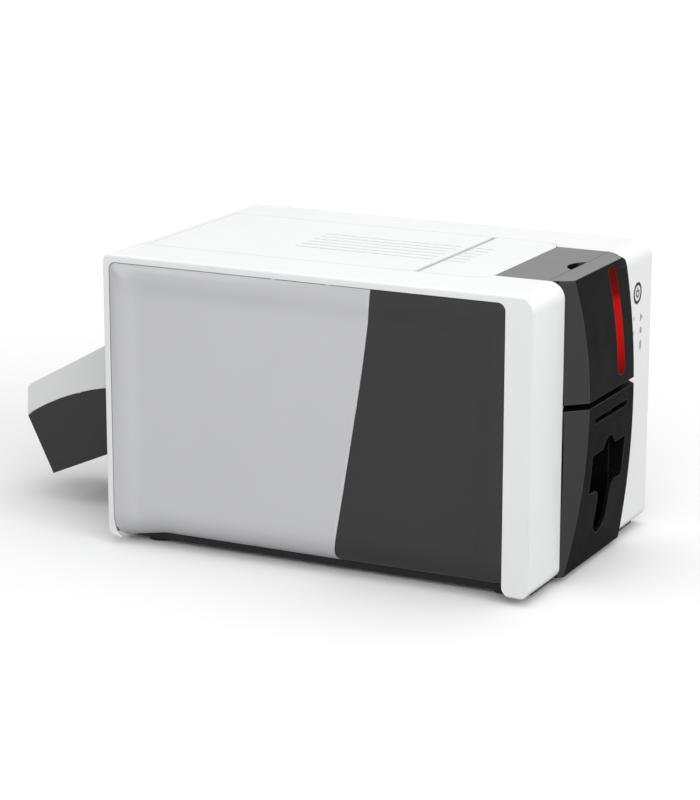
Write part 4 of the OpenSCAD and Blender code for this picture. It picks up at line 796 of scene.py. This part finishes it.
class Bench:
    """Modelling by hand: one object at a time, shaped in edit mode."""

    @staticmethod
    def clear() -> None:
        """Deselects every object."""
        for each in bpy.context.view_layer.objects:
            each.select_set(False)

    @classmethod
    def take(cls, piece: Piece) -> Piece:
        """Makes one piece the selected and active one, and returns it."""
        cls.clear()
        piece.select_set(True)
        bpy.context.view_layer.objects.active = piece
        return piece

    @classmethod
    @contextmanager
    def edit(cls, piece: Piece) -> Iterator[None]:
        """Opens a piece in edit mode, with all of it selected, and closes it at the end."""
        cls.take(piece)
        bpy.ops.object.mode_set(mode="EDIT")
        bpy.ops.mesh.select_all(action="SELECT")
        yield
        bpy.ops.object.mode_set(mode="OBJECT")

    @staticmethod
    def outward() -> None:
        """Turns all faces of the piece in edit mode outwards."""
        bpy.ops.mesh.select_all(action="SELECT")
        bpy.ops.mesh.normals_make_consistent(inside=False)

    @staticmethod
    def label(piece: Piece, name: str) -> Piece:
        """Gives a piece and its mesh a name, and returns it."""
        piece.name = piece.data.name = name
        return piece

    @classmethod
    def settle(cls, piece: Piece) -> Piece:
        """Moves a piece's place, turn and scale into its mesh, and returns it."""
        cls.take(piece)
        bpy.ops.object.transform_apply(location=True, rotation=True, scale=True)
        return piece

    @classmethod
    def block(cls, name: str, low: Vector, high: Vector) -> Piece:
        """Adds a cube between two opposite corners.

        Args:
            name: Name of the piece.
            low: Lowest corner.
            high: Highest corner.

        Returns:
            The piece, settled.
        """
        cls.clear()
        bpy.ops.mesh.primitive_cube_add(size=1.0, location=(low + high) / 2)
        piece = cls.label(bpy.context.object, name)
        piece.scale = high - low
        return cls.settle(piece)

    @staticmethod
    def pick_points(piece: Piece, wanted: Callable[[Vector], bool]) -> None:
        """Selects the points that pass a test, in edit mode.

        Args:
            piece: The piece, in edit mode.
            wanted: Test on a point's place.
        """
        bpy.ops.mesh.select_mode(type="VERT")
        mesh = bmesh.from_edit_mesh(piece.data)
        for point in mesh.verts:
            point.select_set(wanted(point.co))
        mesh.select_flush_mode()
        bmesh.update_edit_mesh(piece.data)

    @classmethod
    def modify(cls, piece: Piece, kind: str, **settings: str | int | float | bool | Piece) -> Piece:
        """Gives a piece a modifier and applies it.

        Args:
            piece: The piece.
            kind: Type of the modifier.
            settings: The modifier's settings.

        Returns:
            The same piece.
        """
        cls.take(piece)
        modifier = piece.modifiers.new(kind.lower(), kind)
        for label, value in settings.items():
            setattr(modifier, label, value)
        bpy.ops.object.modifier_apply(modifier=modifier.name)
        return piece

    @classmethod
    def thicken(cls, sheet: Piece, way: Point) -> Piece:
        """Gives a sheet a thickness and turns its faces outwards.

        Args:
            sheet: The sheet.
            way: Way and length of the thickness in metres.

        Returns:
            The same piece.
        """
        with cls.edit(sheet):
            bpy.ops.mesh.extrude_region_move(TRANSFORM_OT_translate={"value": way})
            cls.outward()
        return sheet

    @classmethod
    def finish(cls, piece: Piece, angle: float = 35.0, bevel: float = 0.0) -> Piece:
        """Rounds a piece's sharp edges and shades it smooth up to an angle.

        Args:
            piece: The piece.
            angle: Edges sharper than this stay sharp, in degrees.
            bevel: Width of the rounding in metres.

        Returns:
            The same piece.
        """
        if bevel > 0:
            cls.modify(piece, "BEVEL", width=bevel, segments=2, limit_method="ANGLE",
                       angle_limit=math.radians(angle))
        cls.take(piece)
        bpy.ops.object.shade_smooth_by_angle(angle=math.radians(angle))
        return piece

    @classmethod
    def cut(cls, piece: Piece, tool: Piece, way: str) -> Piece:
        """Cuts a piece with another one, which is used up.

        Args:
            piece: The piece that stays.
            tool: The piece that cuts.
            way: DIFFERENCE or INTERSECT.

        Returns:
            The cut piece.
        """
        cls.modify(piece, "BOOLEAN", operation=way, object=tool, solver="EXACT")
        bpy.data.objects.remove(tool)
        return piece

    @classmethod
    def shape(cls, piece: Piece, rule: Callable[[Vector], Vector]) -> Piece:
        """Moves every point of a piece by a rule.

        Args:
            piece: The piece.
            rule: New place for a point's old one.

        Returns:
            The same piece.
        """
        with cls.edit(piece):
            mesh = bmesh.from_edit_mesh(piece.data)
            for point in mesh.verts:
                point.co = rule(point.co)
            bmesh.update_edit_mesh(piece.data)
        return piece

    @classmethod
    def twin(cls, node: str, name: str = "outline") -> Piece:
        """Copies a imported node, to shape a new piece from it or cut one to its outline.

        Args:
            node: Name of the node.
            name: Name of the copy.

        Returns:
            The copy.
        """
        copy = cls.label(bpy.data.objects.new(name, frame["nodes"][node].data.copy()), name)
        bpy.context.collection.objects.link(copy)
        return copy

    @classmethod
    def join(cls, name: str, pieces: list[Piece]) -> Piece:
        """Joins several pieces of one kind into one object.

        Args:
            name: Name of the joined piece.
            pieces: The pieces.

        Returns:
            The joined piece.
        """
        cls.take(pieces[0])
        for each in pieces:
            each.select_set(True)
        bpy.ops.object.join()
        return cls.label(bpy.context.object, name)


# ---------------- sub-assemblies


@dataclass
class Assembly:
    """A sub-assembly of the printer, which dresses its pieces from the common finishes."""

    finishes: Finishes

    def hand_over(self, piece: Piece, finish: str, body: str, slot: str,
                  replaced: Iterable[str] = ()) -> None:
        """Dresses a finished piece and lets it ride.

        Args:
            piece: The finished piece.
            finish: Name of its finish.
            body: The body it rides on.
            slot: The record's material slot; not used.
            replaced: CAD nodes that it stands for.
        """
        piece.data.materials.clear()
        piece.data.materials.append(self.finishes.get(finish))
        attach(piece, body)
        if replaced:
            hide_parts(*replaced)
        log.info("piece %s on %s: %d faces", piece.name, body, len(piece.data.polygons))


@dataclass
class CarriedNodes(Assembly):
    """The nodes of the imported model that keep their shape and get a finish."""

    DRESS = {
        "white plastic": ("side_shell_left", "side_shell_right", "top_panel", "rear_panel",
                          "hood_top", "power_button", "hopper_lid"),
        "charcoal plastic": ("hopper_tray",),
        "nose plastic": ("hood_deck",),
        "bezel plastic": ("front_bezel", "card_track", "feeder_magazine"),
        "black plastic": ("base_tray", "release_button", "print_head", "supply_spool",
                          "takeup_spool", "board_components", "power_inlet"),
        "acetal": ("shaft_bushes", "front_idler", "middle_idler", "rear_idler",
                   "front_roller_gear", "platen_gear", "middle_roller_gear", "exit_roller_gear",
                   "ribbon_pinion"),
        "sheet steel": ("frame_plate_left", "frame_plate_right", "lifter_plate", "usb_port",
                        "network_port"),
        "shaft steel": ("tie_bars", "motor_pinion", "hinge_pins", "front_pinch_roller",
                        "middle_pinch_roller", "exit_pinch_roller"),
        "can steel": ("drive_motor", "ribbon_motor", "head_bracket"),
        "roller rubber": ("rubber_feet", "pick_roller", "front_roller", "platen_roller",
                          "middle_roller", "exit_roller"),
        "lit strip": ("light_strip",),
        "status lens": ("status_lights",),
        "ribbon film": ("ribbon_film",),
        "circuit board": ("light_board", "main_board"),
    }

    def build(self) -> None:
        """Gives every carried-over node its finish."""
        for finish, names in self.DRESS.items():
            material = self.finishes.get(finish)
            for name in names:
                node = frame["nodes"][name]
                node.data.materials.clear()
                node.data.materials.append(material)
                Bench.finish(node, SMOOTH_ANGLE)
                log.info("node %s: %s", name, finish)


# ---------------- casing


@dataclass
class SidePanel(Assembly):
    """A soft-dished side panel, cut to the outline of the plain one that it stands for."""

    node: str
    side: Side
    finish: str
    slot: str
    face: float = 101.3
    front: float = -132.0
    rear: float = 146.0
    top: float = 190.0
    low: float = 9.3
    foot_low: float = 4.5
    foot_start: float = 112.0
    foot_end: float = 140.0
    turn_in: float = 12.0
    turn_up: float = 17.0
    dish_start: float = 8.0
    dish_end: float = 22.0
    dish_depth: float = 1.4
    dish_corner: float = 26.0
    dish_low: float = 1.0
    dish_fade: float = 30.0
    step: float = 2.5
    margin: float = 2.0
    thickness: float = 34.0
    angle: float = 28.0

    def dip(self, y: float, z: float) -> float:
        """Depth of the shallow field, which runs out softly to its border.

        Args:
            y: Place along the casing in mm.
            z: Height in mm.

        Returns:
            The depth in mm.
        """
        across, up = min(y - self.front, self.rear - y), self.top - z
        corner = self.dish_corner
        inside = min(across, up)
        if across < corner and up < corner:
            inside = corner - math.hypot(corner - across, corner - up)
        share = min(1.0, max(0.0, (inside - self.dish_start) / (self.dish_end - self.dish_start)))
        fade = min(1.0, max(0.0, (z - self.low - self.turn_up) / self.dish_fade))
        depth = self.dish_low + (self.dish_depth - self.dish_low) * fade
        return depth * share * share * (3 - 2 * share)

    def skin(self, point: Vector) -> Vector:
        """The outer skin's place for a point of the flat sheet.

        Args:
            point: Point of the sheet.

        Returns:
            Its place on the skin, with the lower edge turned in under the casing.
        """
        y, z = point.y / MM - SHIFT_Y, point.z / MM
        down = min(1.0, max(0.0, (y - self.foot_start) / (self.foot_end - self.foot_start)))
        low = self.low + (self.foot_low - self.low) * down
        share = (low + self.turn_up - z) / self.turn_up
        x = self.face - self.dip(y, z)
        if share > 0:
            angle = min(share, 1.0) * math.pi / 2
            x = self.face - self.turn_in + (self.turn_in - self.dip(y, z)) * math.cos(angle)
            z = low + self.turn_up * (1 - math.sin(angle)) - max(0.0, share - 1.0) * self.turn_up
        return at(self.side.value * x, y, z)

    def build(self) -> None:
        """Builds the panel."""
        low, high = (Vector(corner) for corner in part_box(self.node))
        # one margin past the outline along the casing and on top, and three below it,
        # so that the turned-in edge starts clear of it
        low -= Vector((0, 1, 3)) * self.margin * MM
        high += Vector((0, 1, 1)) * self.margin * MM
        size, middle = high - low, (high + low) / 2
        Bench.clear()
        bpy.ops.mesh.primitive_grid_add(
            x_subdivisions=round(size.z / MM / self.step),
            y_subdivisions=round(size.y / MM / self.step), size=1.0, location=middle,
            rotation=(0, math.pi / 2, 0))
        panel = Bench.label(bpy.context.object, self.node.replace("panel", "soft_panel"))
        panel.scale = (size.z, size.y, 1.0)
        Bench.shape(Bench.settle(panel), self.skin)
        Bench.thicken(panel, (-self.side.value * self.thickness * MM, 0, 0))
        Bench.cut(panel, Bench.twin(self.node), "INTERSECT")
        self.hand_over(Bench.finish(panel, self.angle), self.finish, "chassis", self.slot,
                       (self.node,))


@dataclass
class NoseSkin(Assembly):
    """The hood's nose, whose upper right corner rounds off towards the front."""

    node: str = "hood_nose"
    corner: Point = (43.4, -200.4, 195.0)
    round_off: float = 5.5
    slack: float = 1.0
    half_length: float = 15.0
    sides: int = 72
    angle: float = 25.0

    def build(self) -> None:
        """Builds the piece."""
        turn, size = self.round_off * MM, self.half_length * MM
        edge = Bench.block("corner", Vector((-turn, -size, -turn)),
                           Vector((self.slack * MM, size, self.slack * MM)))
        Bench.clear()
        bpy.ops.mesh.primitive_cylinder_add(
            vertices=self.sides, radius=turn, depth=size * 4, location=(-turn, 0, -turn),
            rotation=(math.pi / 2, 0, 0))
        Bench.cut(edge, Bench.settle(bpy.context.object), "DIFFERENCE")
        turned = Matrix.Rotation(-math.pi / 4, 4, "Z")
        place = Matrix.Translation(Vector(self.corner) * MM) @ turned
        Bench.shape(edge, lambda point: place @ point)
        skin = Bench.cut(Bench.twin(self.node, "rounded_nose"), edge, "DIFFERENCE")
        # the large flat faces rule the shading beside the rounding
        Bench.modify(Bench.finish(skin, self.angle), "WEIGHTED_NORMAL", mode="FACE_AREA",
                     weight=100, keep_sharp=True)
        self.hand_over(skin, "nose plastic", "hood", "dark_plastic", (self.node,))


# ---------------- controls


@dataclass
class PowerMark(Assembly):
    """The dark rim of the power button and the usual power sign on its face."""

    x: float = 76.2
    y: float = -150.0
    z: float = 163.8
    rim_out: float = 7.1
    rim_in: float = 5.2
    sign_out: float = 3.0
    sign_in: float = 1.8
    bar_half: float = 0.6
    bar_low: float = 0.8
    bar_rise: float = 0.8
    proud: float = 0.14
    seat: float = 0.3
    gap: float = 36.0
    steps: int = 48
    bevel: float = 0.0001

    def ring(self, name: str, outer: float, inner: float, start: float, end: float) -> Piece:
        """Spins a small flat profile round the button's axis.

        Args:
            name: Name of the piece.
            outer: Outer radius in mm.
            inner: Inner radius in mm.
            start: Start angle in degrees, 0 at the top.
            end: End angle in degrees.

        Returns:
            The piece.
        """
        low = at(self.x, self.y - self.proud, self.z + inner)
        high = at(self.x, self.y + self.seat, self.z + outer)
        Bench.clear()
        bpy.ops.mesh.primitive_plane_add(size=1.0, location=(low + high) / 2,
                                         rotation=(0, math.pi / 2, 0))
        piece = Bench.label(bpy.context.object, name)
        piece.scale = (high.z - low.z, high.y - low.y, 1.0)
        Bench.settle(piece)
        centre = at(self.x, self.y, self.z)
        with Bench.edit(piece):
            mesh = bmesh.from_edit_mesh(piece.data)
            turned = Matrix.Rotation(math.radians(start), 3, "Y")
            bmesh.ops.rotate(mesh, cent=centre, matrix=turned, verts=mesh.verts)
            bmesh.update_edit_mesh(piece.data)
            bpy.ops.mesh.spin(steps=self.steps, angle=math.radians(start - end), center=centre,
                              axis=(0, 1, 0))
            bpy.ops.mesh.select_all(action="SELECT")
            bpy.ops.mesh.remove_doubles(threshold=MERGE)
            Bench.outward()
        return piece

    def build(self) -> None:
        """Builds the rim, the broken ring and the bar."""
        rim = self.ring("power_rim", self.rim_out, self.rim_in, 0, 360)
        self.hand_over(Bench.finish(rim, bevel=self.bevel), "printed mark", "power",
                       "black_plastic")
        broken = self.ring("power_sign", self.sign_out, self.sign_in, self.gap, 360 - self.gap)
        tip = self.z + self.sign_out + self.bar_rise
        bar = Bench.block("power_bar",
                          at(self.x - self.bar_half, self.y - self.proud, self.z + self.bar_low),
                          at(self.x + self.bar_half, self.y + self.seat, tip))
        sign = Bench.join("power_sign", [broken, Bench.finish(bar, bevel=self.bevel)])
        self.hand_over(Bench.finish(sign), "printed mark", "power", "black_plastic")


@dataclass
class StatusMarks(Assembly):
    """Three small printed signs beside the status lights: a triangle, a dot and a drop."""

    x: float = 83.6
    y: float = -150.0
    half: float = 2.7
    proud: float = 0.1
    seat: float = 0.3
    bevel: float = 0.00005

    # name, height in mm, sides, half width and half height as shares, and turn of each outline
    SIGNS = (("card_mark", 146.3, 3, 1.2, 1.2, -90), ("dot_mark", 137.5, 24, 0.75, 0.8, 0),
             ("drop_mark", 127.6, 6, 0.7, 1.35, 0))

    def flat(self, name: str, z: float, sides: int, wide: float, high: float,
             turn: float) -> Piece:
        """Makes a thin raised sign from a regular outline.

        Args:
            name: Name of the sign.
            z: Height of its middle in mm.
            sides: Sides of its outline.
            wide: Half of its width, as a share of the usual one.
            high: Half of its height, as a share of the usual one.
            turn: Turn of the outline in degrees.

        Returns:
            The sign.
        """
        Bench.clear()
        bpy.ops.mesh.primitive_circle_add(vertices=sides, radius=1.0, fill_type="NGON",
                                          rotation=(0, 0, math.radians(turn)))
        sign = Bench.settle(Bench.label(bpy.context.object, name))
        sign.scale = (self.half * wide * MM, self.half * high * MM, 1.0)
        sign.rotation_euler = (math.pi / 2, 0, 0)
        sign.location = at(self.x, self.y + self.seat, z)
        Bench.thicken(Bench.settle(sign), (0, -(self.seat + self.proud) * MM, 0))
        return Bench.finish(sign, bevel=self.bevel)

    def build(self) -> None:
        """Builds the signs."""
        signs = Bench.join("status_marks", [self.flat(*sign) for sign in self.SIGNS])
        self.hand_over(signs, "faint mark", "chassis", "black_plastic")


# ---------------- small hardware


@dataclass
class Screws(Assembly):
    """The screws with a cross recess in each head."""

    node: str = "screws"
    head: float = 1.6
    head_slack: float = 0.3
    span: float = 3.0
    slot: float = 0.6
    depth: float = 0.8
    bevel: float = 0.00012

    def recess(self, low: Vector, high: Vector) -> Iterator[tuple[Vector, Vector]]:
        """Finds the two bars of the cross for one screw.

        Args:
            low: Lowest corner of the head.
            high: Highest corner of the head.

        Yields:
            Two opposite corners of each bar, or nothing where the solid isn't a head.
        """
        size = high - low
        axis = min(range(3), key=lambda k: size[k])
        if abs(size[axis] - self.head * MM) > self.head_slack * MM:
            return
        centre, across = (low + high) / 2, [k for k in range(3) if k != axis]
        centre[axis] = high[axis]
        for long, short in (across, across[::-1]):
            half = Vector((0, 0, 0))
            half[long], half[short] = self.span / 2 * MM, self.slot / 2 * MM
            half[axis] = self.depth * MM
            yield centre - half, centre + half

    def build(self) -> None:
        """Builds the screws."""
        whole = Bench.twin(self.node)
        with Bench.edit(whole):
            bpy.ops.mesh.remove_doubles(threshold=FINE_MERGE)
            bpy.ops.mesh.separate(type="LOOSE")
        solids = [whole, *(o for o in bpy.context.selected_objects if o != whole)]
        for solid in solids:
            points = [v.co for v in solid.data.vertices]
            low, high = (Vector([end(p[k] for p in points) for k in range(3)])
                         for end in (min, max))
            for first, last in self.recess(low, high):
                Bench.cut(solid, Bench.block("recess", first, last), "DIFFERENCE")
        screws = Bench.finish(Bench.join("cross_screws", solids), bevel=self.bevel)
        self.hand_over(screws, "shaft steel", "chassis", "shaft_steel", (self.node,))


@dataclass
class LifterSprings(Assembly):
    """The two coil springs under the lifter plate, kept at their imported length."""

    node: str = "lifter_springs"
    travel: float = 38.0

    def build(self) -> None:
        """Builds the springs."""
        low, high = (Vector(corner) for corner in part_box(self.node))
        springs = Bench.twin(self.node, "coil_springs")
        with Bench.edit(springs):
            bpy.ops.mesh.remove_doubles(threshold=FINE_MERGE)
        self.hand_over(Bench.finish(springs), "spring steel", "chassis", "shaft_steel",
                       (self.node,))
        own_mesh(springs)


@dataclass
class ChipLegs(Assembly):
    """The bent legs along the four sides of one chip on the main board."""

    name: str
    face: float
    start: Span
    end: Span
    pitch: float = 1.27
    width: float = 0.45
    reach: float = 1.1
    rise: float = 0.7
    thickness: float = 0.22
    seat: float = 0.05
    near: float = 0.01

    def row(self, across: bool, far: bool) -> Piece:
        """Makes the legs of one side.

        Args:
            across: Whether the row runs along the casing rather than upwards.
            far: Whether it is the row at the chip's far side.

        Returns:
            The row as one object.
        """
        along = 0 if across else 1
        size = self.end[along] - self.start[along]
        count = int((size - self.pitch) / self.pitch)
        first = self.start[along] + (size - (count - 1) * self.pitch) / 2 - self.width / 2
        side = self.end[1 - along] if far else self.start[1 - along] - self.reach
        top = self.face + self.rise
        low, high = [self.face + self.seat, 0.0, 0.0], [top, 0.0, 0.0]
        low[1 + along], high[1 + along] = first, first + self.width
        low[2 - along], high[2 - along] = side, side + self.reach
        leg = Bench.block("leg", at(*low), at(*high))
        inner = side if far else side + self.reach

        def outer_top(point: Vector) -> bool:
            """Whether a point is on the leg's upper side, at its outer end."""
            place = point.y / MM - SHIFT_Y if along else point.z / MM
            upper = point.x > at(top, 0, 0).x - MM * self.near
            return upper and abs(place - inner) > self.reach / 2

        with Bench.edit(leg):
            Bench.pick_points(leg, outer_top)
            bpy.ops.transform.translate(
                value=(-(self.rise - self.seat - self.thickness) * MM, 0, 0))
        step = [0.0, 0.0, 0.0]
        step[1 + along] = self.pitch * MM
        return Bench.modify(leg, "ARRAY", use_relative_offset=False, use_constant_offset=True,
                            count=count, constant_offset_displace=step)

    def build(self) -> None:
        """Builds the four rows."""
        rows = [self.row(across, far) for across in (True, False) for far in (False, True)]
        self.hand_over(Bench.finish(Bench.join(self.name, rows)), "shaft steel", "chassis",
                       "shaft_steel")


@dataclass
class PanelClips(Assembly):
    """The clips of the side panels that show as light breaks in their top seam."""

    face: float = 101.2
    inner: float = 100.0
    low: float = 189.4
    high: float = 190.6
    length: float = 3.0
    places: Span = (26.0, -12.0)
    bevel: float = 0.0002

    def build(self) -> None:
        """Builds the clips of both sides."""
        clips = []
        for side in Side:
            for y in self.places:
                ends = sorted((side.value * self.inner, side.value * self.face))
                clips.append(Bench.block("clip", at(ends[0], y - self.length / 2, self.low),
                                         at(ends[1], y + self.length / 2, self.high)))
        clips = Bench.finish(Bench.join("panel_clips", clips), bevel=self.bevel)
        self.hand_over(clips, "white plastic", "chassis", "white_plastic")


# ---------------- the whole printer


def main() -> None:
    """Builds the studio and every piece in order, and reports each."""
    logging.basicConfig(level=logging.INFO, format="%(message)s", stream=sys.stdout)
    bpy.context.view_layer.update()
    Studio().build()
    finishes = Finishes()
    CarriedNodes(finishes).build()
    for side in Side:
        for place, finish, slot in (("rear", "grey plastic", "grey_plastic"),
                                    ("front", "charcoal plastic", "dark_plastic")):
            SidePanel(finishes, f"panel_{side.name.lower()}_{place}", side, finish, slot).build()
    for assembly in (NoseSkin, PowerMark, StatusMarks, Screws, LifterSprings):
        assembly(finishes).build()
    board_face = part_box("board_components")[0][0] / MM
    ChipLegs(finishes, "large_chip_legs", board_face, (0.0, 50.0), (22.0, 72.0)).build()
    ChipLegs(finishes, "small_chip_legs", board_face, (34.0, 56.0), (48.0, 70.0),
             pitch=1.0).build()
    PanelClips(finishes).build()


if __name__ == "__main__":
    main()
